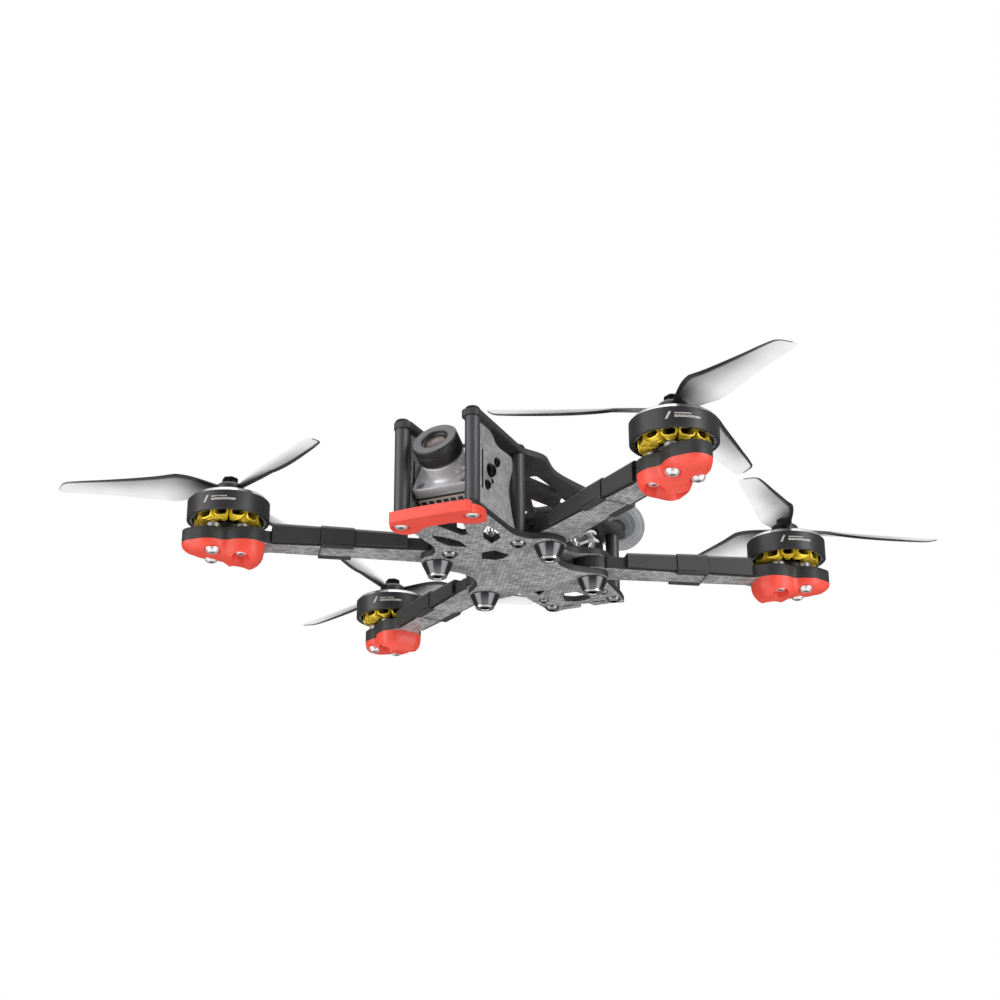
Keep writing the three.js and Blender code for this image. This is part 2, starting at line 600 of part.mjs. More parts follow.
function flightController() {
  const board = roundedShape(mirrored([[11.5, STACK_Y - 12, 2], [11.5, STACK_Y + 12, 2]]));
  const top = CONTROLLER_BOTTOM + BOARD_THICKNESS;
  return join(
    slab(board, CONTROLLER_BOTTOM, BOARD_THICKNESS, 2),
    block(-4, 4, STACK_Y - 4, STACK_Y + 4, top - 0.25, top + 1),
    block(-4, 4, STACK_Y - 11.5, STACK_Y - 7.5, top - 0.25, top + 2),
    block(-3.5, 3.5, STACK_Y + 7.5, STACK_Y + 11.5, top - 0.25, top + 2),
  );
}

// The transmitter hangs under the top plate's rear, with its shield can downwards.
const videoTransmitter = () => join(
  block(-9, 9, 32.5, 48, TOP_BOTTOM - 1.25, TOP_BOTTOM),
  block(-7.5, 7.5, 34, 46.5, TRANSMITTER_BOTTOM, TOP_BOTTOM - 1),
);

// A can lying across the frame, behind the boards.
function capacitor() {
  const can = turned([[0, 0], [3.6, 0], [4, 0.4], [4, 6], [3.7, 6.4], [4, 6.8], [4, 8], [0, 8]], 12);
  return can.rotate([0, 90, 0]).translate([1, 29.5, 18]);
}

// A grip pad round the top plate's cut-outs, for the battery to lie on.
function batteryPad() {
  const outline = roundedShape(mirrored([[10, -24, 3], [12, -12, 4], [12, 20, 4], [10, 42, 3]]));
  const window = roundedShape(mirrored([[9.6, -7.5, 1.5], [9.6, 33.5, 1.5]]), THREE.Path);
  return slab(withHoles(outline, [window]), TOP_FACE, PAD_THICKNESS);
}

// A printed block under the top plate's rear end, with a sloping hole for the antenna's stem.
function antennaMount() {
  const body = block(-6, 6, ANTENNA_ROOT_Y - 1, 59.3, 19.5, TOP_BOTTOM);
  const bore = solid(new THREE.CylinderGeometry(2.2, 2.2, 40, 10)).rotate([ANTENNA_ANGLE_DEG, 0, 0])
    .translate([0, ANTENNA_ROOT_Y, ANTENNA_ROOT_Z]);
  return cut(body, bore);
}

// The stem and the round head, drawn along +Z and then leant back to the antenna's angle.
function antenna() {
  const start = ANTENNA_HEAD_START;
  const end = start + ANTENNA_HEAD_LENGTH;
  const body = turned([
    [0, 0], [1.8, 0], [1.8, 12], [1.5, 12.5], [1.5, start], [5.5, start],
    [ANTENNA_HEAD_RADIUS - 1, start + 1],
    [ANTENNA_HEAD_RADIUS, start + 2.5], [ANTENNA_HEAD_RADIUS, end - 2.5],
    [ANTENNA_HEAD_RADIUS - 1.5, end - 0.5], [0, end],
  ], 16);
  return body.rotate([ANTENNA_ANGLE_DEG - 90, 0, 0]).translate([0, ANTENNA_ROOT_Y, ANTENNA_ROOT_Z]);
}

// ---------------------------------------------------------------- assembly

const drone = new THREE.Group();

drone.add(
  piece('base_plate', basePlate(), LOOKS.carbon()),
  piece('mid_plate', midPlate(), LOOKS.carbon()),
  piece('top_plate', topPlate(), LOOKS.carbon()),
  piece('battery_pad', batteryPad(), LOOKS.foam()),
  piece('front_bumper', frontBumper(), LOOKS.redRubber()),
  piece('speed_controller', speedController(), LOOKS.board()),
  piece('flight_controller', flightController(), LOOKS.board()),
  piece('video_transmitter', videoTransmitter(), LOOKS.blackMetal()),
  piece('capacitor', capacitor(), LOOKS.silver()),
  piece('antenna_mount', antennaMount(), LOOKS.blackPlastic()),
  piece('antenna', antenna(), LOOKS.antennaShell()),
);

for (const corner of CORNERS) {
  const armGroup = new THREE.Group();
  armGroup.position.set(corner.x * FOOT_X, corner.y * FOOT_Y, 0);
  armGroup.rotation.z = Math.atan2(corner.y * Math.sin(ARM_ANGLE), corner.x * Math.cos(ARM_ANGLE));
  armGroup.add(
    piece(`arm_${corner.name}`, arm(), LOOKS.carbon()),
    piece(`arm_cover_${corner.name}`, armCover(), LOOKS.cover()),
    piece(`motor_guard_${corner.name}`, motorGuard(), LOOKS.redRubber()),
    piece(`foot_${corner.name}`, foot(), LOOKS.blackMetal()),
  );

  const motorGroup = new THREE.Group();
  motorGroup.position.set(ARM_LENGTH, 0, 0);
  motorGroup.add(
    piece(`motor_base_${corner.name}`, motorBase(), LOOKS.blackMetal()),
    piece(`motor_stator_${corner.name}`, motorStator(), LOOKS.copper()),
  );
  armGroup.add(motorGroup);

  const rotor = new THREE.Group();
  rotor.position.set(corner.x * MOTOR_X, corner.y * MOTOR_Y, 0);
  rotor.rotation.z = THREE.MathUtils.degToRad(corner.headingDeg);
  rotor.add(
    piece(`motor_bell_${corner.name}`, motorBell(), LOOKS.bell()),
    piece(`propeller_${corner.name}`, propeller(corner.spin), LOOKS.smoke()),
    piece(`prop_nut_${corner.name}`, propNut(), LOOKS.blackMetal()),
  );
  drone.add(armGroup, rotor);
}

const camera = new THREE.Group();
camera.position.set(0, CAMERA_PIVOT_Y, CAMERA_PIVOT_Z);
camera.rotation.x = -THREE.MathUtils.degToRad(CAMERA_TILT_DEG);
camera.add(
  piece('camera_housing', cameraHousing(), LOOKS.silver()),
  piece('camera_lens', lensBarrel(), LOOKS.blackPlastic()),
  piece('camera_circuit', cameraCircuit(), LOOKS.board()),
);
drone.add(camera);

for (const side of SIDES) {
  camera.add(piece(`camera_screw_${side.name}`, cameraScrew(side.x), LOOKS.blackMetal()));
  drone.add(piece(`camera_side_plate_${side.name}`, cameraSidePlate(side.x), LOOKS.carbon()));
  const rows = [
    ['front', FRONT_POST, BASE_THICKNESS],
    ['middle', MIDDLE_POST, BASE_THICKNESS],
    ['rear', REAR_POST, DECK],
  ];
  for (const [row, place, bottom] of rows) {
    const standoff = piece(`post_${row}_${side.name}`, post(bottom), LOOKS.postMetal());
    standoff.position.set(side.x * place.x, place.y, 0);
    drone.add(standoff);
  }
}

export default drone;
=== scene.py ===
import math
import random

import bmesh
import bpy
from mathutils import Matrix, Vector


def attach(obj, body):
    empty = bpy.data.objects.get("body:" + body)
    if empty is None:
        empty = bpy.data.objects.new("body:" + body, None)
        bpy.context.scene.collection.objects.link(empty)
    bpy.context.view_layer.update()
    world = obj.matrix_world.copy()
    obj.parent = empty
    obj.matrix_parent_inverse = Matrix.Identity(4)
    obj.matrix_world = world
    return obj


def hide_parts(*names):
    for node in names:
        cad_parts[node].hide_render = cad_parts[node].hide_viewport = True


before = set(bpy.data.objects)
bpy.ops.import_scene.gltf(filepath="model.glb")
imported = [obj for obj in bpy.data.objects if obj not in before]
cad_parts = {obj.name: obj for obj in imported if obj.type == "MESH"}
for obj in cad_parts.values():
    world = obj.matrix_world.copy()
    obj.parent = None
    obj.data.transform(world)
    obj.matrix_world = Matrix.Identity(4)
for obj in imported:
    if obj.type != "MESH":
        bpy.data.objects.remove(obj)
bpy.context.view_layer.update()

# The looks of a small racing quadcopter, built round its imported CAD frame.
# Shapes are drawn in millimetres in the row frame: +Z up, nose to -Y, the aircraft's left at +X.

MM = 0.001

# ---- driving dimensions, as in the CAD

ARM_BOTTOM, ARM_TOP, DECK = 2, 6, 8
TOP_BOTTOM, TOP_FACE, PAD_FACE = 28, 30, 31.25
MOTOR_X, MOTOR_Y = 71, 53
FOOT_X, FOOT_Y = 18.5, 17
ARM_LENGTH = math.hypot(MOTOR_X - FOOT_X, MOTOR_Y - FOOT_Y)
ARM_ANGLE = math.atan2(MOTOR_Y - FOOT_Y, MOTOR_X - FOOT_X)
ROOT_RADIUS = 6
HALF_AT_ROOT, HALF_AT_TIP = 5.4, 3.8
PAD_HALF, PAD_WAIST, PAD_LOBE, PAD_REACH = 7.6, 5.4, 6.6, 13.4
PAD_START = ARM_LENGTH - 11.2
COVER_START, COVER_END, COVER_WALL = 10, ARM_LENGTH - 13.2, 1
BAND_START, BAND_END = 26, 36
SCREW_HOLE, BOLT_HOLE, BOLT_RADIUS = 1.6, 1.1, 6
SKID_SCREW_SEAT = -0.5
BELL_RADIUS, BELL_INNER, BELL_RIM, BELL_TOP = 12.35, 11.5, 9.5, 16.75
MAGNET_COUNT, MAGNET_RADIUS = 14, 10.7
TEETH, TURNS, STATOR_RADIUS = 12, 9, 10.2
STATOR_BOTTOM, STATOR_TOP = 8, 14.5
SHAFT_RADIUS = 1.5
PROP_SEAT, PROP_PLANE, HUB_TOP, NUT_TOP = 17.25, 19.25, 21.75, 24
PROP_RADIUS, HUB_RADIUS = 50.76, 4.3
PROP_PITCH, STEEPEST_SLOPE = 50, 0.5
CHORD_STEPS, BLADE_STEPS = 22, 40
POST_RADIUS = 2.2
POSTS = {"front": (11.25, -55, 2), "middle": (11.25, -23.5, 2), "rear": (11.1, 54.5, 8)}
FOOT_HEIGHT = 4.5
BUMPER_BOTTOM, BUMPER_SEAT = -2.5, -1.25
CAMERA_PIVOT = (0, -45, 15)
CAMERA_TILT = 32
CAMERA_HALF = 9.5
LENS_FACE, LENS_RADIUS = 14.2, 6.9
ANTENNA_ROOT, ANTENNA_ANGLE = (0, 51, 20.5), 32
HEAD_START, HEAD_LENGTH, HEAD_RADIUS = 44.5, 7, 9
STACK_Y, STACK_HOLE = 13, 10
POWER_BOARD, CONTROL_BOARD, BOARD_THICKNESS = 9, 12.5, 1.25
SUNK = 0.05  # how far a part on a board sinks into it

# Name, side of X, side of Y, rotor direction seen from above (1 is anticlockwise), first blade's heading.
CORNERS = [
    ("front_left", 1, -1, -1, -36),
    ("front_right", -1, -1, 1, 211),
    ("rear_left", 1, 1, 1, 274.5),
    ("rear_right", -1, 1, -1, 155.5),
]
SIDES = {"left": 1, "right": -1}
QUADRANTS = [(1, 1), (1, -1), (-1, 1), (-1, -1)]
AIRFRAME, CAMERA_BODY = "airframe", "camera_unit"


def at(x=0, y=0, z=0):
    return Matrix.Translation((x * MM, y * MM, z * MM))


def turn(degrees, axis):
    return Matrix.Rotation(math.radians(degrees), 4, axis)


def clamp(value, low=0, high=1):
    return min(high, max(low, value))


FLIP = turn(180, "X")

# ---- materials


def linear(color):
    """An sRGB colour, given as 0 to 255, in Blender's linear light."""
    def channel(c):
        c /= 255
        return c / 12.92 if c <= 0.04045 else ((c + 0.055) / 1.055) ** 2.4
    return (*[channel(c) for c in color], 1)


def shade(color, gain, lift=0):
    return linear([min(255, c * gain + lift) for c in color])


def grey(value):
    return linear((value, value, value))


class Value:
    """An output of a node, for sums with numbers and other outputs."""

    def __init__(self, nodes, socket):
        self.nodes = nodes
        self.socket = socket

    def __add__(self, other):
        return self.nodes.math("ADD", self, other)

    def __rsub__(self, other):
        return self.nodes.math("SUBTRACT", other, self)

    def __mul__(self, other):
        return self.nodes.math("MULTIPLY", self, other)

    def __truediv__(self, other):
        return self.nodes.math("DIVIDE", self, other)


class Nodes:
    """A node tree. Every input takes a number, a colour or a Value."""

    def __init__(self, tree):
        self.tree = tree
        tree.nodes.clear()

    def add(self, kind, inputs=None, output=0, **settings):
        """Adds a node and gives one of its outputs, where it has any."""
        node = self.tree.nodes.new("ShaderNode" + kind)
        for key, value in settings.items():
            setattr(node, key, value)
        for key, value in (inputs or {}).items():
            if isinstance(value, Value):
                self.tree.links.new(value.socket, node.inputs[key])
            else:
                node.inputs[key].default_value = value
        return Value(self, node.outputs[output]) if node.outputs else node

    def math(self, operation, a, b=0):
        return self.add("Math", {0: a, 1: b}, operation=operation)

    def clamp(self, value):
        return self.add("Clamp", {0: value})

    def ramp(self, value, low, high):
        """0 below low, 1 above high, smooth between."""
        return self.add("MapRange", {0: value, 1: low, 2: high}, interpolation_type="SMOOTHSTEP")

    def mix(self, share, a, b):
        return self.add("Mix", {0: share, 6: a, 7: b}, 2, data_type="RGBA")

    def split(self, vector):
        node = self.add("SeparateXYZ", {0: vector}).socket.node
        return [Value(self, socket) for socket in node.outputs]


class Look(Nodes):
    """A node material."""

    def __init__(self, name):
        self.material = bpy.data.materials.new(name)
        self.material.use_nodes = True
        super().__init__(self.material.node_tree)

    def point(self):
        """The point in the piece's own frame, in metres."""
        return self.add("TexCoord", output="Object")

    def noise(self, size, detail=2, stretch=(1, 1, 1)):
        """Noise whose features are about size millimetres across."""
        mapped = self.add("Mapping", {0: self.point(), 3: stretch})
        return self.add("TexNoise", {"Vector": mapped, "Scale": 1 / (size * MM), "Detail": detail})

    def bump(self, height, depth, strength=0.5):
        """Depth is the height of the relief in millimetres."""
        return self.add("Bump", {"Height": height, "Distance": depth * MM, "Strength": strength})

    def close(self, shader):
        self.add("OutputMaterial", {0: shader})
        return self.material

    def finish(self, **inputs):
        names = {key.replace("_", " "): value for key, value in inputs.items()}
        return self.close(self.add("BsdfPrincipled", names))

    def see_through(self, cover, clear, color, roughness):
        """Clear plastic that a solid colour covers by a share."""
        solid = self.add("BsdfPrincipled", {"Base Color": color, "Roughness": roughness})
        clear = self.add("BsdfTransparent", {0: clear})
        return self.close(self.add("MixShader", {0: cover, 1: clear, 2: solid}))


TOW_LENGTH, TOW_WIDTH, LAYER = 1.5, 1.25, 0.34


def carbon(name, facing, face_dark, face_light, edge):
    """Woven carbon sheet whose broad faces look along one axis, with darker layered cut edges."""
    look = Look(name)
    x, y, z = look.split(look.add("VectorMath", {0: look.point(), 3: 1 / MM}, operation="SCALE"))
    level = facing == "Z"
    across, along, inwards = (x, y, z) if level else (y, z, x)
    row = look.math("FLOOR", along / TOW_WIDTH)
    column = across / TOW_LENGTH + row * 0.5
    spot = look.add("CombineXYZ", {0: look.math("FLOOR", column), 1: row})
    chance = look.add("TexWhiteNoise", {0: spot}, noise_dimensions="2D")
    crown = look.math("SINE", look.math("FRACT", column) * math.pi)
    ridge = look.math("SINE", look.math("FRACT", along / TOW_WIDTH) * math.pi)
    weave = look.math("POWER", crown, 0.6) * look.math("POWER", ridge, 0.6)
    fibres = look.noise(0.5, 3, (0.4, 1.6, 1.6) if level else (1.6, 0.4, 1.6))
    share = weave * 0.5 + chance * 0.5 + fibres * 0.4 + look.noise(14) * 0.3 + -0.45
    face = look.mix(look.clamp(share), grey(face_dark), grey(face_light))
    normal = look.add("NewGeometry", output="Normal")
    ways = {"vector_type": "NORMAL", "convert_from": "WORLD", "convert_to": "OBJECT"}
    parts = look.split(look.add("VectorTransform", {0: normal}, **ways))
    flat = look.ramp(look.math("ABSOLUTE", parts["XYZ".index(facing)]), 0.45, 0.75)
    layers = look.math("SINE", inwards * (2 * math.pi / LAYER))
    side_share = layers * 0.16 + look.noise(0.35, 3, (0.4, 0.4, 2)) * 0.5 + 0.3
    side = look.mix(look.clamp(side_share), grey(edge * 0.7), grey(edge * 1.35))
    return look.finish(
        Base_Color=look.mix(flat, side, face),
        Roughness=fibres * 0.25 + 0.36,
        Specular_IOR_Level=0.35,
        Normal=look.bump((weave + fibres) * flat, 0.04),
        Coat_Weight=flat * 0.2,
        Coat_Roughness=0.25,
    )


def moulded(name, color, roughness, variation=0.12, relief=0.02, sheen=0, scatter=0):
    """Moulded plastic or rubber: fine surface grain, slow colour drift and a slightly uneven gloss."""
    look = Look(name)
    fine, slow = look.noise(0.35, 3), look.noise(7)
    share = look.clamp(slow * 0.7 + fine * 0.3)
    return look.finish(
        Base_Color=look.mix(share, shade(color, 1 - variation), shade(color, 1 + variation)),
        Roughness=slow * 0.16 + (roughness - 0.08),
        Normal=look.bump(fine, relief),
        Sheen_Weight=sheen,
        Subsurface_Weight=scatter,
        Subsurface_Radius=(0.003, 0.001, 0.0007),
    )


def metal(name, color, roughness, brushed=(1, 1, 1), metallic=1, wear=0.3):
    """Turned or anodised metal: fine tool lines along one way and small scuffs."""
    look = Look(name)
    lines = look.noise(0.3, 4, brushed)
    worn = look.ramp(look.noise(2.5, 4), 0.6, 0.75) * wear
    base = look.mix(look.clamp(lines), shade(color, 0.86), shade(color, 1.12))
    return look.finish(
        Base_Color=look.mix(worn, base, shade(color, 1.3, 12)),
        Metallic=metallic,
        Roughness=lines * 0.15 + worn + (roughness - 0.07),
        Normal=look.bump(lines, 0.012, 0.35),
    )


def circuit(name, mask):
    """Solder mask with fine tracks under it and small pale silk-screen dots."""
    look = Look(name)
    point = look.point()
    tracks = look.add("TexBrick", {"Scale": 1 / (3.5 * MM), "Mortar Size": 0.03, "Vector": point}, 1)
    dots = look.add("TexVoronoi", {"Scale": 1 / (1.7 * MM), "Vector": point})
    joints = look.math("LESS_THAN", dots, 0.13)
    base = look.mix(tracks * 0.7, linear(mask), shade(mask, 1.8, 14))
    return look.finish(
        Base_Color=look.mix(joints, base, grey(190)),
        Metallic=joints * 0.8,
        Roughness=0.35,
        Normal=look.bump(tracks, 0.05),
    )


def blade_plastic(name):
    """Smoke-tinted clear plastic. It is darkest where the blade is thick: the leading edge and the root."""
    look = Look(name)
    chord, share, _ = look.split(look.add("Attribute", output="Vector", attribute_name="blade"))
    lead = 1 - look.ramp(chord, 0.06, 0.17)
    body = 1 - look.ramp(chord, 0.1, 0.95)
    root = 1 - look.ramp(share, 0.1, 0.4)
    tip = 1 - look.ramp(share, 0.55, 1)
    streaks = look.noise(3, 3, (0.5, 0.5, 1))
    cover = body * (tip * 0.36 + 0.04) + lead * 0.8 + root * 0.5 + streaks * 0.14 + -0.04
    color = look.mix(look.clamp(lead + root), grey(95), grey(38))
    return look.see_through(look.clamp(cover), grey(250), color, streaks * 0.15 + 0.16)


def tinted(name, color, cover, roughness):
    """Thin tinted plastic that shows some of what is behind it."""
    look = Look(name)
    drift = look.noise(4, 3)
    drifting = look.mix(drift, shade(color, 0.85), linear(color))
    return look.see_through(cover, grey(235), drifting, drift * 0.1 + roughness)


def lens_glass(name):
    """Coated front glass: nearly black, with a warm reflection painted into its colour that grows lighter
    where the glass turns away, towards its edge.
    """
    look = Look(name)
    painted_reflection = look.add("LayerWeight", {0: 0.45}, 1)
    return look.finish(
        Base_Color=look.mix(look.clamp(painted_reflection), linear((66, 46, 44)), linear((98, 78, 74))),
        Roughness=look.noise(3) * 0.1 + 0.3,
        Coat_Weight=0.3,
        Coat_Roughness=0.1,
    )


CARBON = carbon("carbon_sheet", "Z", 92, 196, 40)
CARBON_UPRIGHT = carbon("carbon_upright", "X", 128, 180, 46)
# The top plate's carbon: the same woven sheet as the other plates, darkened as painted shade for the shadow
# under the top plate.
CARBON_PAINTED_SHADE = carbon("carbon_painted_shade", "Z", 40, 74, 50)
COVER = moulded("cover_plastic", (50, 50, 51), 0.46, 0.1)
RED = moulded("red_rubber", (235, 76, 59), 0.4, 0.1, 0.04, scatter=0.04)
BLACK_PLASTIC = moulded("black_plastic", (30, 30, 31), 0.4, 0.15)
BLACK_SATIN = moulded("black_satin", (30, 30, 31), 0.42, 0.15)
LENS_RING = moulded("lens_ring", (96, 96, 98), 0.55, 0.08)
LENS_RIM = moulded("lens_rim", (104, 78, 72), 0.35, 0.1)
FOAM = moulded("grip_foam", (38, 38, 39), 0.9, 0.25, 0.25, sheen=0.3)
CABLE = moulded("cable_black", (30, 30, 31), 0.45, 0.15)
CABLE_RED = moulded("cable_red", (170, 32, 28), 0.45)
CABLE_PALE = moulded("cable_pale", (226, 226, 222), 0.4, 0.08)
IVORY = moulded("ivory_plastic", (222, 208, 196), 0.45, 0.08)
CHIP = moulded("chip_body", (40, 41, 43), 0.35, 0.2)
GLOSS_BLACK = metal("foot_black", (108, 108, 110), 0.16, (1, 1, 6), 1, 0.06)
SCREW_BLACK = metal("screw_black", (140, 139, 138), 0.2, wear=0.1)
# Pale screw heads, worn by the skid screws and the bumper's screws. On the bumper's screws, which are black
# like those below the base, the pale colour is a painted highlight for their glints.
SCREW_PALE_AND_GLINT_PAINTED = metal("screw_pale_and_glint_painted", (244, 240, 232), 0.34, metallic=0.7, wear=0.1)
CHROME = metal("bright_steel", (235, 235, 234), 0.16, wear=0.1)
SILVER = metal("silver_satin", (206, 206, 208), 0.3, (1, 1, 4), wear=0.15)
CASTING = metal("cast_silver", (214, 214, 216), 0.36, metallic=0.4, wear=0.2)
LUG = metal("motor_lug", (150, 150, 152), 0.36, metallic=0.6, wear=0.2)
POST_METAL = metal("post_anodised", (82, 82, 84), 0.42, (1, 1, 0.1), 0.6, 0.15)
BELL = metal("bell_anodised", (62, 62, 63), 0.4, (1, 1, 8), 0.65, 0.08)
BASE_METAL = metal("motor_base_black", (30, 30, 31), 0.38, (1, 1, 4), 0.7, 0.2)
DARK_STEEL = metal("black_oxide", (30, 30, 32), 0.32, wear=0.25)
MAGNET = metal("magnet_nickel", (190, 191, 193), 0.25, wear=0.2)
COPPER = metal("winding_wire", (255, 206, 60), 0.32, metallic=0.45, wear=0.1)
GOLD_PAD = metal("gold_pad", (226, 186, 96), 0.3, wear=0.1)
LAMINATION = metal("stator_steel", (34, 33, 32), 0.45, (1, 1, 12), 0.8, 0.2)
BOARD = circuit("board_black", (22, 23, 25))
PROP = blade_plastic("prop_smoke")
PROP_HUB = moulded("prop_hub", (40, 40, 42), 0.3)
ANTENNA_SHELL = tinted("antenna_shell", (150, 151, 153), 0.62, 0.22)
PRINT = moulded("printed_mark", (186, 182, 178), 0.5, 0.05, 0.005)
GLASS = lens_glass("lens_glass")

# ---- outlines


def rounded(points, steps=7):
    """A closed outline through (x, y, corner radius) points. A rounding never takes half of a side."""
    outline = []
    for i, (x, y, radius) in enumerate(points):
        corner = Vector((x, y))
        before = Vector(points[i - 1][:2]) - corner
        after = Vector(points[(i + 1) % len(points)][:2]) - corner
        reach = min(radius, 0.48 * before.length, 0.48 * after.length)
        start, end = corner + before.normalized() * reach, corner + after.normalized() * reach
        for k in range(steps + 1):
            t = k / steps
            outline.append(start * (1 - t) ** 2 + corner * 2 * t * (1 - t) + end * t * t)
            if reach == 0:
                break
    return outline


def mirrored(half):
    """A half outline and its mirror image across the middle plane."""
    return half + [(-x, y, r) for x, y, r in reversed(half)]


def two_edged(edge):
    """One edge of an arm's outline and its mirror image across the arm's axis."""
    return edge + [(x, -y, r) for x, y, r in reversed(edge)]


def both_sides(points):
    return [[(side * x, y, r) for x, y, r in points] for side in (1, -1)]


def arc(radius, start, end, steps):
    """Points round the origin from one heading to another, in degrees."""
    angles = [math.radians(start + (end - start) * k / steps) for k in range(steps + 1)]
    return [Vector((radius * math.cos(a), radius * math.sin(a))) for a in angles]


def circle(x, y, radius, segments=28):
    return [p + Vector((x, y)) for p in arc(radius, 0, 360, segments)[:-1]]


def winding(outline):
    pairs = zip(outline, outline[1:] + outline[:1])
    return sum(a.x * b.y - b.x * a.y for a, b in pairs)


def smooth_path(points, steps=6):
    """A soft curve through a few points, for wires."""
    path = []
    points = [Vector(p) for p in points]
    ends = [points[0], *points, points[-1]]
    for p0, p1, p2, p3 in zip(ends, ends[1:], ends[2:], ends[3:]):
        for k in range(steps):
            t = k / steps
            path.append(0.5 * (2 * p1 + (p2 - p0) * t + (2 * p0 - 5 * p1 + 4 * p2 - p3) * t ** 2
                               + (3 * p1 - p0 - 3 * p2 + p3) * t ** 3))
    return path + [points[-1]]


# ---- mesh building

def link(name, data):
    obj = bpy.data.objects.new(name, data)
    bpy.context.collection.objects.link(obj)
    return obj


def evaluated(obj):
    """A mesh of the object with its curve settings and modifiers applied."""
    depsgraph = bpy.context.evaluated_depsgraph_get()
    return bpy.data.meshes.new_from_object(obj.evaluated_get(depsgraph))


def settle(obj, looks, node=None, place=None, bevel=0, sharp=35, segments=2, bake=False, body=AIRFRAME):
    """Gives a piece its looks, shading, place and body. bake turns the mesh and not the object."""
    for material in looks:
        obj.data.materials.append(material)
    obj.data.shade_smooth()
    obj.data.set_sharp_from_angle(angle=math.radians(sharp))
    if bake:
        obj.data.transform(place.to_3x3().to_4x4())
        place = Matrix.Translation(place.translation)
    if place is not None:
        obj.matrix_world = place
    if bevel:
        soften = obj.modifiers.new("soft_edges", "BEVEL")
        soften.width = bevel * MM
        soften.segments = segments
        soften.limit_method = "ANGLE"
        soften.angle_limit = math.radians(sharp)
    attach(obj, body)
    if node:
        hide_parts(node)


def sheet(name, outer, holes, z0, z1, edge=0.12):
    """A flat plate with holes and lightly broken edges."""
    curve = bpy.data.curves.new(name, "CURVE")
    curve.dimensions = "2D"
    curve.fill_mode = "BOTH"
    for index, outline in enumerate([outer, *holes]):
        wanted = 1 if index == 0 else -1
        if winding(outline) * wanted < 0:
            outline = outline[::-1]
        spline = curve.splines.new("POLY")
        spline.points.add(len(outline) - 1)
        for point, place in zip(spline.points, outline):
            point.co = (place.x * MM, place.y * MM, 0, 1)
        spline.use_cyclic_u = True
    curve.extrude = ((z1 - z0) / 2 - edge) * MM
    curve.bevel_depth = edge * MM
    curve.bevel_resolution = 1
    curve.offset = -edge * MM
    holder = link(name + "_outline", curve)
    mesh = evaluated(holder)
    bpy.data.objects.remove(holder)
    mesh.transform(at(0, 0, (z0 + z1) / 2))
    welded = bmesh.new()
    welded.from_mesh(mesh)
    bmesh.ops.remove_doubles(welded, verts=welded.verts, dist=0.003 * MM)
    bmesh.ops.recalc_face_normals(welded, faces=welded.faces)
    welded.to_mesh(mesh)
    welded.free()
    mesh.materials.clear()
    return link(name, mesh)


class Build:
    """Closed shells, drawn in millimetres, gathered into one mesh."""

    def __init__(self):
        self.bm = bmesh.new()

    def point(self, x, y, z, place=Matrix()):
        return self.bm.verts.new(place @ Vector((x * MM, y * MM, z * MM)))

    def face(self, verts, look):
        self.bm.faces.new(verts).material_index = look

    def skin(self, rings, look=0):
        for a, b in zip(rings, rings[1:]):
            count = max(len(a), len(b))
            for k in range(count):
                n = (k + 1) % count
                if len(a) == 1:
                    self.face((a[0], b[n], b[k]), look)
                elif len(b) == 1:
                    self.face((a[k], a[n], b[0]), look)
                else:
                    self.face((a[k], a[n], b[n], b[k]), look)

    def solid(self, rings, look=0):
        """A skin through the rings, with a face at each end."""
        self.skin(rings, look)
        self.face(rings[0][::-1], look)
        self.face(rings[-1], look)

    def lathe(self, profile, looks=0, segments=48, place=Matrix()):
        """Turned about Z from (radius, z) or (radius, z, "hex") points. looks may name one look per step."""
        rings = []
        for radius, z, *kind in profile:
            ring = []
            for k in range(segments if radius else 1):
                angle = 2 * math.pi * k / segments
                reach = radius
                if kind:
                    reach = radius / math.cos((angle + math.pi / 6) % (math.pi / 3) - math.pi / 6)
                ring.append(self.point(reach * math.cos(angle), reach * math.sin(angle), z, place))
            rings.append(ring)
        for step in range(len(rings) - 1):
            look = looks if isinstance(looks, int) else looks[min(step, len(looks) - 1)]
            self.skin(rings[step:step + 2], look)

    def prism(self, outline, z0, z1, look=0, place=Matrix()):
        self.solid([[self.point(x, y, z, place) for x, y in outline] for z in (z0, z1)], look)

    def block(self, x0, x1, y0, y1, z0, z1, look=0, place=Matrix()):
        self.prism([(x0, y0), (x1, y0), (x1, y1), (x0, y1)], z0, z1, look, place)

    def chip(self, x, y, z, width, length, height, look=0):
        """A block centred on x and y that stands on z."""
        self.block(x - width / 2, x + width / 2, y - length / 2, y + length / 2, z, z + height, look)

    def tube(self, path, radius, look=0, sides=8, closed=False, place=Matrix()):
        """A round wire along a list of points."""
        points = [Vector(p) for p in path]
        rings = []
        up = Vector((0.13, 0.21, 0.97))
        for i, p in enumerate(points):
            if closed:
                heading = points[(i + 1) % len(points)] - points[i - 1]
            else:
                heading = points[min(i + 1, len(points) - 1)] - points[max(i - 1, 0)]
            heading.normalize()
            side = heading.cross(up).normalized()
            up = side.cross(heading).normalized()
            ring = [p + side * q.x + up * q.y for q in arc(radius, 0, 360, sides)[:-1]]
            rings.append([self.point(*q, place) for q in ring])
        if closed:
            self.skin(rings + [rings[0]], look)
        else:
            self.solid(rings, look)

    def done(self, name):
        bmesh.ops.recalc_face_normals(self.bm, faces=self.bm.faces)
        mesh = bpy.data.meshes.new(name)
        self.bm.to_mesh(mesh)
        self.bm.free()
        return link(name, mesh)


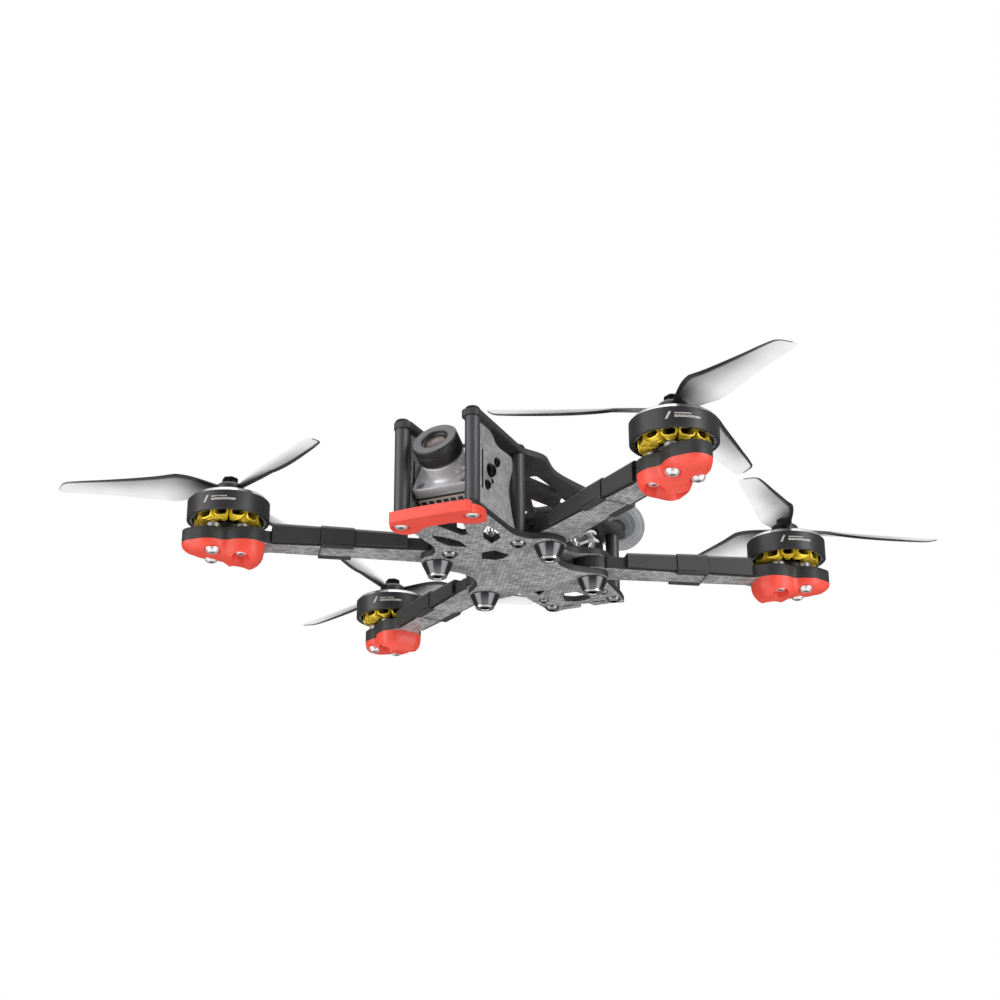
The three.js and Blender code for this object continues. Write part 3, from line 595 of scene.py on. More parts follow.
def combine(obj, others, operation="DIFFERENCE"):
    """Cuts closed meshes out of a piece, or joins them to it, and applies the result."""
    for other in others:
        modifier = obj.modifiers.new("combine", "BOOLEAN")
        modifier.operation = operation
        modifier.solver = "EXACT"
        modifier.object = other
    mesh = evaluated(obj)
    obj.modifiers.clear()
    obj.data = mesh
    for other in others:
        bpy.data.objects.remove(other)
    return obj


def turned(name, profile, looks=0, segments=48, place=Matrix()):
    """A piece that is one turned body."""
    build = Build()
    build.lathe(profile, looks, segments, place)
    return build.done(name)


def button_head(build, place, radius, height=1.2):
    """A screw's domed head standing along +Z, with a hexagon socket."""
    build.lathe([
        (0, 0), (radius, 0), (radius, 0.18 * height), (0.93 * radius, 0.5 * height),
        (0.78 * radius, 0.82 * height), (0.6 * radius, height), (0.36 * radius, height, "hex"),
        (0.34 * radius, 0.4 * height, "hex"), (0, 0.35 * height),
    ], [0] * 6 + [1] * 3, 24, place)


# ---- frame plates

def frame_plate(level, look, half, slots, holes, z0, z1):
    """A flat plate, mirrored about the middle, with rounded slots and round holes."""
    plate = sheet(f"{level}_sheet", rounded(mirrored(half)), [rounded(s) for s in slots] + holes, z0, z1)
    settle(plate, [look], f"{level}_plate")


def base_plate():
    half = [
        (4, -58, 1), (13.2, -58, 4), (12.8, -30, 6), (15.6, -24.5, 3), (21, -23.5, 5), (24.5, -16, 5),
        (16, -6, 7), (14.2, 0, 5), (16, 7, 7), (24.5, 15.5, 5), (21.5, 22.5, 5), (13.5, 22.5, 3),
        (9, 20.5, 2),
    ]
    slots = [
        *both_sides([(9.1, -40.2, 0.6), (5.9, -36.4, 0.4), (3.8, -31.8, 0.4), (3.9, -26.3, 0.5),
                     (8.4, -29.6, 0.4), (9.8, -35, 0.4)]),
        mirrored([(4.6, -48.5, 0.8), (0.9, -36.3, 0.6)]),
        mirrored([(2, -20.3, 0.4), (4.6, -15, 0.4), (1.2, -12.4, 0.4)]),
    ]
    frame_plate("base", CARBON, half, slots, [], 0, ARM_BOTTOM)


def mid_plate():
    half = [
        (7, -9.5, 2.5), (8.6, -19, 2), (13, -22.3, 3), (24, -22.3, 5.3), (24, -11.7, 5.3), (16, -5.5, 6),
        (14.8, 1, 5), (16, 7.5, 6), (24, 11.7, 5.3), (24, 22.3, 5.3), (17.2, 24, 4), (15.2, 37, 8),
        (14, 54, 3), (12.7, 60.8, 2.5), (9.5, 59, 3), (2.2, 59, 1), (1.6, 56, 0.6),
    ]
    slots = [
        *both_sides([(10.1, 33.8, 0.5), (5.4, 31.6, 0.4), (5.2, 36.2, 0.4), (10.1, 41.3, 0.5)]),
        *both_sides([(3.6, 55, 0.3), (7.4, 55, 0.3), (7.4, 56, 0.3), (3.6, 56, 0.3)]),
        mirrored([(2.4, 43, 0.6), (4.8, 50.4, 0.8), (2, 52.4, 0.6)]),
        mirrored([(6, -4.5, 2), (6, 10, 2)]),
    ]
    holes = [circle(side * 10.6, 46.5, SCREW_HOLE) for side in (1, -1)]
    frame_plate("mid", CARBON, half, slots, holes, ARM_TOP, DECK)


def top_plate():
    half = [
        (8.1, -34, 5), (8.1, -57.4, 2.9), (13.8, -57.4, 3), (13.2, -24, 2), (17.4, -16, 3.5), (14.6, -3, 9),
        (16.4, 7, 4), (18.6, 16, 3), (13.4, 34, 9), (13.4, 44, 4), (15, 59.5, 3.2), (8, 58.5, 2),
    ]
    windows = [
        *both_sides([(4.4, -5, 1.4), (9.6, -6, 1.8), (10.4, 9.5, 0.6), (8.4, 8.5, 0.6)]),
        *both_sides([(5.2, 22, 0.8), (9.4, 15, 1.2), (9.8, 30, 1.6)]),
        [(0, 11.5, 0.6), (4.2, 24, 2.6), (-4.2, 24, 2.6)],
        mirrored([(1.6, 28.4, 0.4), (3, 38, 0.8)]),
    ]
    # Its carbon is the darkened copy, painted shade for the shadow under this plate.
    frame_plate("top", CARBON_PAINTED_SHADE, half, windows, [], TOP_BOTTOM, TOP_FACE)


def camera_side_plates():
    outline = rounded([
        (-52, 2, 0), (-26.8, 2, 0), (-30, 8, 5), (-32, 14, 3), (-28.6, 21.5, 3), (-29, 25, 1.5),
        (-40, 24.5, 9), (-44, 27.9, 2), (-52, 27.9, 0.5),
    ])
    _, y, z = CAMERA_PIVOT
    holes = [
        circle(y, z, 1.4),
        circle(y + 4.6, z + 4.2, 0.9),
        circle(y + 2, z - 2.6, 0.8),
        rounded([(-50.2, 8, 0.4), (-49.2, 8, 0.4), (-49.2, 20, 0.4), (-50.2, 20, 0.4)]),
    ]
    # The sheet's own x, y and thickness become Y, Z and X.
    upright = Matrix(((0, 0, 1, 0), (1, 0, 0, 0), (0, 1, 0, 0), (0, 0, 0, 1)))
    for name, side in SIDES.items():
        plate = sheet(f"camera_sheet_{name}", outline, holes, 10, 12)
        plate.data.transform(upright)
        if side < 0:
            plate.data.transform(Matrix.Scale(-1, 4, (1, 0, 0)))
            plate.data.flip_normals()
        settle(plate, [CARBON_UPRIGHT], f"camera_side_plate_{name}")
        build = Build()
        for screw_y, screw_z in ((y + 4.6, z + 4.2), (y - 1.8, z - 5)):
            button_head(build, at(side * 12, screw_y, screw_z) @ turn(90 * side, "Y"), 1.5, 0.9)
        settle(build.done(f"camera_plate_screws_{name}"), [DARK_STEEL, BLACK_PLASTIC])


# ---- arms, drawn along +X from the foot

# One side of the motor pad's outline, from the arm out to the end.
PAD_CORNERS = [
    (ARM_LENGTH - 8, -PAD_HALF, 4.5), (ARM_LENGTH - 3, -PAD_HALF, 4), (ARM_LENGTH + 0.8, -PAD_WAIST, 4.5),
    (ARM_LENGTH + 3.8, -PAD_LOBE, 4), (ARM_LENGTH + 7.2, -PAD_LOBE, 5), (ARM_LENGTH + PAD_REACH, -2.8, 4),
]
BOLTS = [(ARM_LENGTH + p.x, p.y) for p in arc(BOLT_RADIUS, 45, 315, 3)]
# The skid's depth below the arm along the pad, from the body's side of the motor to the far end.
SKID_DEPTHS = [
    (-11.2, 4.9), (-7.5, 5.8), (-4.5, 5.9), (-1.5, 5.3), (1.5, 4.1), (4, 3.2), (7.5, 3), (10.5, 2.7),
    (13.4, 2.2),
]
# The skid's rounding: share of the depth, and how far the outline has drawn in there.
SKID_ROUNDING = [(0, 0), (0.25, 0.05), (0.5, 0.3), (0.7, 0.8), (0.86, 1.6), (0.96, 2.7), (1, 4.2)]


def half_width(x):
    share = clamp((x - ROOT_RADIUS) / (PAD_START - ROOT_RADIUS))
    return HALF_AT_ROOT + (HALF_AT_TIP - HALF_AT_ROOT) * share


def arm_sheet():
    edge = [(3, -5.5, 1), (PAD_START - 1, -HALF_AT_TIP, 2), *PAD_CORNERS]
    outline = rounded(two_edged(edge), 10) + arc(ROOT_RADIUS, 66, 298, 29)
    holes = [circle(ARM_LENGTH, 0, 2.5)] + [circle(x, y, BOLT_HOLE, 16) for x, y in BOLTS]
    return sheet("arm_sheet", outline, holes, ARM_BOTTOM, ARM_TOP, 0.18)


def cover_shell():
    """A hood over the arm and the motor wires, with sloped upper edges and a band that hooks under."""
    build = Build()

    def section(x, proud):
        inner = half_width(x) + 0.3
        outer = inner + COVER_WALL + proud
        top = 7.4 + 1.3 * (x - COVER_START) / (COVER_END - COVER_START) + proud * 0.5
        foot = ARM_BOTTOM + 0.5
        outside = [(outer, foot), (outer, top - 1.1), (outer - 0.15, top - 0.8), (outer - 0.9, top - 0.08),
                   (outer - 1.3, top)]
        inside = [(-inner, foot), (-inner, top - 1.9), (1.4 - inner, top - 0.7)]
        return (outside + [(-y, z) for y, z in reversed(outside)]
                + inside + [(-y, z) for y, z in reversed(inside)])

    spans = [
        (COVER_START, BAND_START - 0.12, 0), (BAND_START, BAND_END, 0.4), (BAND_END + 0.12, COVER_END, 0),
    ]
    for x0, x1, proud in spans:
        stations = [x0 + (x1 - x0) * k / 4 for k in range(5)]
        build.solid([[build.point(x, y, z) for y, z in section(x, proud)] for x in stations])
    middle = half_width((BAND_START + BAND_END) / 2)
    for low, high in ((middle - 0.8, middle + 1.5), (-middle - 1.5, 0.8 - middle)):
        build.block(BAND_START, BAND_END, low, high, ARM_BOTTOM - 0.3, ARM_BOTTOM + 0.5)
    build.block(BAND_END - 0.3, BAND_END, -middle, middle, ARM_BOTTOM - 0.15, ARM_BOTTOM)
    return build.done("arm_hood")


def eased(table, x):
    """A smooth value between the rows of an (x, value) table."""
    for (x0, v0), (x1, v1) in zip(table, table[1:]):
        if x <= x1:
            t = clamp((x - x0) / (x1 - x0))
            return v0 + (v1 - v0) * t * t * (3 - 2 * t)
    return table[-1][1]


def guard_shell():
    """The soft skid: a rounded two-lobed slab, thicker towards the body, with a well at each screw."""
    outline = rounded(two_edged([(PAD_START, -4.4, 1.5), *PAD_CORNERS]), 10)
    build = Build()
    rings = []
    for level, inset in SKID_ROUNDING:
        ring = []
        for p in outline:
            spine = Vector((clamp(p.x, ARM_LENGTH - 5, ARM_LENGTH + 7), 0))
            q = spine + (p - spine) * (1 - inset / (p - spine).length)
            depth = eased(SKID_DEPTHS, q.x - ARM_LENGTH) * level
            ring.append(build.point(q.x, q.y, ARM_BOTTOM - depth))
        rings.append(ring)
    build.solid(rings)
    seat = SKID_SCREW_SEAT
    well = [(0, seat - 8), (3.2, seat - 8), (2.9, seat - 2.4), (2.3, seat - 0.7), (2.3, seat), (0, seat)]
    return combine(build.done("motor_skid"), [turned("well", well, 0, 40, at(x, y)) for x, y in BOLTS])


def motor_wires():
    """Three insulated wires that leave the motor's base and run under the cover."""
    build = Build()
    for k in (-1, 0, 1):
        build.tube(smooth_path([
            (ARM_LENGTH - 4.2, 1.2 * k, 8.6), (ARM_LENGTH - 6.6, 1.35 * k, 7.6),
            (ARM_LENGTH - 9, 1.3 * k, 6.75), (COVER_END - 2, 1.2 * k, 6.6), (COVER_START + 6, 1.1 * k, 6.55),
        ]), 0.52)
    return build.done("motor_wires")


def foot_cone():
    tip = -FOOT_HEIGHT
    return turned("foot_cone", [
        (0, 0), (4.35, 0), (4.62, -0.12), (4.7, -0.45), (3.12, -3.72), (2.95, -3.9), (2.95, tip + 0.22),
        (2.75, tip), (1.75, tip), (1.55, tip + 0.2), (1.28, tip + 0.45, "hex"), (1.2, tip + 2.4, "hex"),
        (0, tip + 2.5),
    ], [0] * 5 + [1] * 4 + [2] * 3, 64)


def skid_screws():
    build = Build()
    for x, y in BOLTS:
        button_head(build, at(x, y, SKID_SCREW_SEAT) @ FLIP, 2.1, 1.35)
    return build.done("skid_screws")


def copy_to(corner, parts, place, **how):
    """One corner's copy of each (source, looks, node, bevel, sharp) part, named after its source."""
    for source, looks, node, bevel, sharp in parts:
        piece = link(f"{source.name}_{corner}", source.data.copy())
        settle(piece, looks, node and f"{node}_{corner}", place, bevel, sharp, **how)


def arm_group():
    """Builds one arm's meshes, then uses them at all four corners."""
    parts = [
        (arm_sheet(), [CARBON], "arm", 0, 35),
        (cover_shell(), [COVER], "arm_cover", 0.12, 20),
        (guard_shell(), [RED], "motor_guard", 0.3, 35),
        (foot_cone(), [GLOSS_BLACK, CHROME, DARK_STEEL], "foot", 0, 30),
        (motor_wires(), [CABLE], None, 0, 60),
        (skid_screws(), [SCREW_PALE_AND_GLINT_PAINTED, SILVER], None, 0, 30),
    ]
    for corner, x, y, _, _ in CORNERS:
        heading = math.degrees(math.atan2(y * math.sin(ARM_ANGLE), x * math.cos(ARM_ANGLE)))
        copy_to(corner, parts, at(x * FOOT_X, y * FOOT_Y) @ turn(heading, "Z"))
    for source, *_ in parts:
        bpy.data.objects.remove(source)


# ---- motors, drawn round their own axis

def motor_base():
    build = Build()
    build.lathe([
        (0, ARM_TOP), (5.9, ARM_TOP), (6, ARM_TOP + 0.2), (6, 7.2), (5.7, 7.5), (3.6, 7.7), (3.2, 8.1),
        (3.2, 14.75), (2.1, 14.75), (1.9, 14.5), (1.9, 7), (0, 7),
    ])
    lug = [(0, ARM_TOP), (2, ARM_TOP), (2.05, 6.2), (2.05, 7.2), (1.85, 7.45), (0, 7.45)]
    for spot in arc(BOLT_RADIUS, 45, 315, 3):
        build.lathe(lug, 1, 24, at(spot.x, spot.y))
    return build.done("motor_foot")


def stator():
    """Twelve teeth: a steel pole face on each, and a coil of separate turns wound round its neck."""
    build = Build()
    rng = random.Random(7)
    low, high = STATOR_BOTTOM + 2.5, STATOR_TOP - 1.2
    build.lathe([(3.5, low), (4.9, low), (4.9, high), (3.5, high), (3.5, low)], 1)
    pole = arc(STATOR_RADIUS, -12.4, 12.4, 6) + arc(STATOR_RADIUS - 0.7, 12.4, -12.4, 6)
    for tooth in range(TEETH):
        place = turn(360 / TEETH * (tooth + 0.5), "Z")
        build.block(4.4, 9.4, -0.75, 0.75, low, high, 1, place)
        build.prism(pole, low, high, 1, place)
        for index in range(TURNS):
            radius = 5 + 0.56 * index
            reach = min(radius * math.tan(math.pi / TEETH) - 0.3, 2.3)
            drop = 3.3 + 0.25 * min(1, index / 4) + rng.uniform(-0.15, 0.15)
            path = []
            for corner in arc(1, 0, 360, 16)[:-1]:
                across = math.copysign(abs(corner.x) ** 0.45, corner.x) * reach * rng.uniform(0.94, 1.03)
                rise = abs(corner.y) ** 0.6
                up = rise * 2.2 if corner.y > 0 else -rise * drop
                path.append((radius + rng.uniform(-0.06, 0.06), across, (low + high) / 2 + up))
            build.tube(path, 0.31, 0, 6, True, place)
    return build.done("motor_coils")


def bell():
    """Outer ring, a top with six windows, and the hub that carries the shaft."""
    build = Build()
    chamfer = BELL_TOP - 1.3
    build.lathe([
        (BELL_INNER, BELL_RIM + 0.1), (11.6, BELL_RIM), (12.15, BELL_RIM), (BELL_RADIUS, BELL_RIM + 0.2),
        (BELL_RADIUS, chamfer), (12.2, chamfer + 0.15), (11.25, BELL_TOP - 0.1), (11, BELL_TOP),
        (10.4, BELL_TOP), (10.4, chamfer), (BELL_INNER, BELL_TOP - 1.6), (BELL_INNER, BELL_RIM + 0.1),
    ], [0] * 4 + [1] * 4 + [0] * 3, 96)
    build.lathe([
        (0, BELL_TOP - 1.9), (4.4, BELL_TOP - 1.9), (4.9, chamfer), (4.9, BELL_TOP), (4.5, PROP_SEAT),
        (SHAFT_RADIUS, PROP_SEAT), (SHAFT_RADIUS, 21.2), (1.3, 21.5), (0, 21.5),
    ], [0] * 5 + [1] * 3, 64)
    shaft_end = BELL_TOP - 1.5
    build.lathe([(0, 7), (1.3, 7), (SHAFT_RADIUS, 7.2), (SHAFT_RADIUS, shaft_end), (0, shaft_end)], 1, 24)
    spoke = rounded([(4.2, -1.6, 0), (10.9, -2.3, 1.4), (10.9, 2.3, 1.4), (4.2, 1.6, 0)])
    for k in range(6):
        build.prism(spoke, BELL_TOP - 1.35, BELL_TOP - 0.05, 0, turn(60 * k + 12, "Z"))
    return build.done("rotor_bell")


def magnets():
    build = Build()
    outline = arc(11.55, -11.2, 11.2, 5) + arc(MAGNET_RADIUS, 11.2, -11.2, 5)
    for magnet in range(MAGNET_COUNT):
        build.prism(outline, BELL_RIM + 0.15, 15.2, 0, turn(360 / MAGNET_COUNT * magnet, "Z"))
    return build.done("rotor_magnets")


def bell_mark():
    """Two plain printed dashes and a tick on the bell's side."""
    build = Build()

    def patch(start, end, z0, z1, lean=0):
        rings = []
        for radius in (BELL_RADIUS - 0.02, BELL_RADIUS + 0.02):
            low = [(*p, z0) for p in arc(radius, start, end, 8)]
            high = [(*p, z1) for p in arc(radius, end + lean, start + lean, 8)]
            rings.append([build.point(*p) for p in low + high])
        build.solid(rings)

    patch(-8, 26, 12.3, 12.9)
    patch(-8, 14, 13.3, 13.6)
    patch(-20, -17, 11.9, 14, 5)
    return build.done("rotor_mark")


# A blade from its root to its tip: share of the radius, then its leading and trailing edges beside its axis.
BLADE_EDGES = [
    (0.07, 2.6, -1.6), (0.22, 5.3, -2.9), (0.32, 6.1, -3.9), (0.42, 5.8, -4.2), (0.58, 5.1, -3.9),
    (0.75, 4.1, -3.7), (0.9, 3.1, -3.6), (0.97, 1.9, -3.5), (1, -1.4, -3.2),
]


def blade_edges(share):
    """The leading and trailing edges at a share of the radius, on a soft curve through the listed ones."""
    last = len(BLADE_EDGES) - 1
    i = next((k for k in range(last) if share <= BLADE_EDGES[k + 1][0]), last - 1)
    rows = [BLADE_EDGES[k] for k in (max(i - 1, 0), i, i + 1, min(i + 2, last))]
    (s0, e0), (s1, e1), (s2, e2), (s3, e3) = [(row[0], Vector(row[1:])) for row in rows]
    t = (share - s1) / (s2 - s1)
    slope_1 = (e2 - e0) / (s2 - s0) * (s2 - s1)
    slope_2 = (e3 - e1) / (s3 - s1) * (s2 - s1)
    return (e1 * (1 + 2 * t) * (1 - t) ** 2 + slope_1 * t * (1 - t) ** 2
            + e2 * t * t * (3 - 2 * t) + slope_2 * t * t * (t - 1))


def blade_point(share, chord_share):
    """A point of the blade's middle surface. chord_share runs from its leading to its trailing edge."""
    lead, trail = blade_edges(share)
    reach = share * PROP_RADIUS
    slope = min(STEEPEST_SLOPE, PROP_PITCH / (2 * math.pi * reach))
    along = lead + (trail - lead) * chord_share
    camber = 0.05 * (lead - trail) * math.sin(math.pi * chord_share)
    return Vector((reach, along, PROP_PLANE + along * slope + camber)), slope


def propeller(name, spin):
    """Three thin cambered blades on a domed hub. The mirror image turns the other way."""
    build = Build()
    tag = build.bm.verts.layers.float_vector.new("blade")
    for blade in range(3):
        place = Matrix.Scale(spin, 4, (0, 1, 0)) @ turn(120 * blade, "Z")
        rings = []
        for s in range(BLADE_STEPS + 1):
            share = 0.07 + 0.93 * (1 - (1 - s / BLADE_STEPS) ** 1.6)
            thickness = 1.1 * (1 - share) ** 0.8 + 0.45
            ring = []
            for k in range(2 * CHORD_STEPS):
                angle = math.pi * k / CHORD_STEPS
                chord_share = 0.5 - 0.5 * math.cos(angle)
                profile = math.sin(angle) * (1.25 - 0.75 * chord_share)
                base, slope = blade_point(share, chord_share)
                lift = Vector((0, -slope, 1)).normalized() * profile * thickness / 2
                vert = build.point(*(base + lift), place)
                vert[tag] = (chord_share, share, 0)
                ring.append(vert)
            rings.append(ring)
        build.solid(rings)
    build.lathe([
        (1.7, PROP_SEAT), (4.1, PROP_SEAT), (HUB_RADIUS, PROP_SEAT + 0.2), (HUB_RADIUS, 20.4), (4.1, 21),
        (3.5, 21.5), (2.7, HUB_TOP), (1.7, HUB_TOP), (1.7, PROP_SEAT),
    ], 1, 64)
    return build.done(name)


def prop_nut():
    return turned("rotor_nut", [
        (0, HUB_TOP), (2.6, HUB_TOP), (2.6, 22.1), (2.4, 22.3), (2.15, 22.3, "hex"), (2.15, 23.5, "hex"),
        (1.7, NUT_TOP - 0.1, "hex"), (1.2, NUT_TOP), (0, NUT_TOP),
    ], 0, 36)


def motors():
    still = [
        (motor_base(), [BASE_METAL, LUG], "motor_base", 0, 30),
        (stator(), [COPPER, LAMINATION], "motor_stator", 0, 50),
    ]
    turning = [
        (bell(), [BELL, SILVER], "motor_bell", 0, 30),
        (magnets(), [MAGNET], None, 0, 30),
        (bell_mark(), [PRINT], None, 0, 30),
        (prop_nut(), [DARK_STEEL], "prop_nut", 0, 25),
    ]
    blades = {spin: propeller(f"blades_{spin}", spin) for spin in (1, -1)}
    for corner, x, y, spin, heading in CORNERS:
        place = at(x * MOTOR_X, y * MOTOR_Y)
        how = {"bake": True, "body": f"rotor_{corner}"}
        copy_to(corner, still, place @ turn(math.degrees(ARM_ANGLE) * x * y, "Z"))
        copy_to(corner, turning, place @ turn(-68 + 6 * x, "Z"), **how)
        piece = link(f"prop_{corner}", blades[spin].data.copy())
        settle(piece, [PROP, PROP_HUB], f"propeller_{corner}", place @ turn(heading, "Z"), 0, 40, **how)
    for source in [part[0] for part in still + turning] + list(blades.values()):
        bpy.data.objects.remove(source)


# ---- posts, screws and bumper

def posts():
    radius, top = POST_RADIUS, TOP_BOTTOM
    for name, side in SIDES.items():
        for row, (x, y, bottom) in POSTS.items():
            post = turned(f"post_{row}_{name}_round", [
                (0, bottom), (radius - 0.25, bottom), (radius, bottom + 0.25), (radius, top - 0.25),
                (radius - 0.25, top), (0, top),
            ])
            settle(post, [POST_METAL], f"post_{row}_{name}", at(side * x, y))


def frame_screws():
    """Button-head screws under the base and mid plates and on the top plate."""
    below, above, front = Build(), Build(), Build()
    undersides = {"front": (front, BUMPER_SEAT), "middle": (below, 0), "rear": (below, ARM_TOP)}
    for side in (1, -1):
        for row, (x, y, _) in POSTS.items():
            build, seat = undersides[row]
            button_head(above, at(side * x, y, TOP_FACE), 2.3)
            button_head(build, at(side * x, y, seat) @ FLIP, 2.35)
        button_head(below, at(side * 10.6, 46.5, ARM_TOP) @ FLIP, 1.5, 0.8)
    # The bumper's screws are black like the rest; their pale look is a painted highlight for their glints.
    settle(front.done("screws_front"), [SCREW_PALE_AND_GLINT_PAINTED, SILVER])
    settle(below.done("screws_below"), [SCREW_BLACK, DARK_STEEL])
    settle(above.done("screws_above"), [DARK_STEEL, BLACK_PLASTIC])


def bumper():
    tray, lip = Build(), Build()
    tray.prism(rounded(mirrored([
        (5, -60, 5), (13, -59.6, 3), (14.8, -54, 2.5), (13.2, -49.4, 2), (8.4, -49.6, 2), (4.6, -53, 2),
    ]), 10), BUMPER_BOTTOM, 0)
    edge = rounded(mirrored([(5, -61, 5), (12.6, -60.4, 2), (12.8, -58.4, 0.4)]), 10)
    lip.prism(edge, BUMPER_BOTTOM, 0.75)
    piece = combine(tray.done("bumper"), [lip.done("lip")], "UNION")
    x, y, _ = POSTS["front"]
    well = [(0, -4), (2.9, -4), (2.7, BUMPER_SEAT), (0, BUMPER_SEAT)]
    combine(piece, [turned("well", well, 0, 40, at(side * x, y)) for side in (1, -1)])
    settle(piece, [RED], "front_bumper", None, 0.45, 30, 3)


# ---- camera, drawn looking along +Z

# The lens barrel's profile as (radius, height).
BARREL = [
    (0, 8), (6, 8), (6.3, 8.1), (LENS_RADIUS, 8.8), (LENS_RADIUS, 11.6), (LENS_RADIUS - 0.12, 11.7),
    (LENS_RADIUS - 0.12, 11.95), (LENS_RADIUS, 12.05), (LENS_RADIUS, LENS_FACE - 0.35),
    (LENS_RADIUS - 0.35, LENS_FACE), (4.35, LENS_FACE), (4.1, LENS_FACE - 0.3), (4, LENS_FACE - 0.9),
    (3.5, LENS_FACE - 1.3), (3.4, LENS_FACE - 1.7), (0, LENS_FACE - 1.75),
]


def camera_unit():
    place = at(*CAMERA_PIVOT) @ turn(-CAMERA_TILT, "X") @ turn(90, "X")
    half, face = CAMERA_HALF, LENS_FACE

    def add(piece, looks, node=None, bevel=0, sharp=35):
        settle(piece, looks, node, place, bevel, sharp, body=CAMERA_BODY)

    ears = [circle(sx * 7.2, sy * 6.6, 1.45, 24) for sx, sy in QUADRANTS]
    flange = sheet("camera_flange", rounded(mirrored([(half, -9, 2), (half, 9, 2)])), ears, 0.5, 3.5, 0.3)
    add(flange, [CASTING], "camera_housing")
    neck = Build()
    neck.lathe([
        (0, 3.2), (7.6, 3.2), (6.9, 3.5), (6.5, 4), (6.35, 4.8), (6.3, 6), (6.4, 7), (6.55, 7.4),
        (6.6, 7.7), (6.3, 7.95), (0, 7.95),
    ], 0, 72)
    neck.block(-half, half, -3, 3, -3, 0.6)
    add(neck.done("camera_neck"), [CASTING], bevel=0.2)
    barrel = turned("lens_barrel", BARREL, [0] * 9 + [1] * 2 + [0] * 5, 96)
    add(barrel, [BLACK_SATIN, LENS_RING], "camera_lens")
    glass = turned("lens_front_glass", [
        (3.45, face - 1.6), (3.2, face - 1.35), (2.4, face - 1.1), (1.2, face - 0.95), (0, face - 0.9),
    ], 0, 64)
    add(glass, [GLASS], sharp=60)
    rings = Build()
    for reach in (2.5, 1.6):
        height = face - 1.12 + 0.14 * (2.5 - reach)
        rings.tube([(*p, height) for p in arc(reach, 0, 350, 35)], 0.07, 0, 6, True)
    add(rings.done("lens_inner_rings"), [LENS_RIM])

    boards = Build()
    boards.block(-8.5, 8.5, -8, 8, -5, -3.6)
    boards.block(-9, 9, -8.5, 8.5, -7.4, -5.4, 1)
    boards.block(-5, 5, -7, -3, -9.9, -7.4, 2)
    for k in range(7):
        boards.block(-4.2 + 1.3 * k, -3.6 + 1.3 * k, -6.2, -3.9, -10, -9.8, 3)
    for sx, sy in QUADRANTS:
        boards.lathe([(0, -7.4), (1, -7.4), (1, 0.6), (0, 0.6)], 3, 16, at(7.3 * sx, 6.8 * sy))
    add(boards.done("camera_boards"), [BOARD, IVORY, CABLE_PALE, SILVER], "camera_circuit", 0.12)
    row = Build()
    row.block(-8.6, 8.6, -8.95, -5, -3.4, 0.5)
    for k in range(7):
        row.block(-7.9 + 2.3 * k, -6.3 + 2.3 * k, -9.1, -8.9, -2.4, -0.9, 1)
    row.block(-9, 9, -9.05, -8, -0.1, 0.5, 1)
    add(row.done("camera_connector"), [IVORY, CHIP], bevel=0.08)
    chips = Build()
    rng = random.Random(3)
    for k in range(7):
        x = -7.2 + 2.35 * k
        chips.block(x, x + 1.5, -8.75, -7.9, -4.9 + rng.uniform(0, 0.2), -3.9)
        chips.block(x, x + 1.5, 7.9, 8.75, -4.9, -3.9)
    add(chips.done("camera_edge_parts"), [CHIP], bevel=0.06)

    for name, side in SIDES.items():
        screw = Build()
        spot = at(*CAMERA_PIVOT) @ at(side * 12.3) @ turn(90 * side, "Y")
        button_head(screw, spot, 2.1, 1.3)
        screw.lathe([(0, -3.4), (0.95, -3.4), (0.95, 0.2), (0, 0.2)], 0, 20, spot)
        piece = screw.done(f"camera_pivot_screw_{name}")
        settle(piece, [DARK_STEEL, BLACK_PLASTIC], f"camera_screw_{name}", body=CAMERA_BODY)


# ---- electronics and wiring

def board_outline(half_x, half_y):
    return rounded(mirrored([(half_x, STACK_Y - half_y, 2), (half_x, STACK_Y + half_y, 2)]))


def power_board():
    y, bottom = STACK_Y, POWER_BOARD
    top = bottom + BOARD_THICKNESS
    build = Build()
    build.prism(board_outline(13.5, 13), bottom, top)
    for side in (1, -1):
        for k in range(4):
            build.chip(side * 7.2, y - 6 + 4 * k, top, 3.2, 3.2, 0.85, 1)
            build.chip(side * 12.1, y - 6.2 + 4 * k, top - SUNK, 2.2, 2, 0.25, 2)
            build.chip(side * 7.2, y - 6 + 4 * k, bottom - 0.5, 3.2, 3.2, 0.5, 1)
    build.chip(0, y + 6, top - SUNK, 8, 6, 1.15, 1)
    for x in (-3, 3):
        build.chip(x, y + 11.7, top - SUNK, 4, 2.2, 0.3, 2)
    settle(build.done("power_board"), [BOARD, CHIP, GOLD_PAD], "speed_controller", None, 0.08)


def control_board():
    y, bottom = STACK_Y, CONTROL_BOARD
    top = bottom + BOARD_THICKNESS
    build = Build()
    build.prism(board_outline(11.5, 12), bottom, top)
    build.chip(0, y, top - SUNK, 7.2, 7.2, 0.9, 1)
    build.chip(0, y - 9.5, top - SUNK, 8, 4.2, 1.9, 3)
    build.chip(0, y + 9.6, top - SUNK, 6.8, 4, 1.9, 4)
    for k in range(5):
        build.chip(-7.6 + 3.6 * k, y + 5.3, top - SUNK, 2, 1.8, 0.5, 1)
        for x in (10.75, -10.75):
            build.chip(x, y - 5.3 + 2.4 * k, top - SUNK, 1.1, 1.4, 0.25, 2)
        build.chip(-5.3 + 2.6 * k, y - 5.5, bottom - 0.6, 1.4, 1, 0.6, 1)
    looks = [BOARD, CHIP, GOLD_PAD, SILVER, CABLE_PALE]
    settle(build.done("control_board"), looks, "flight_controller", None, 0.08)


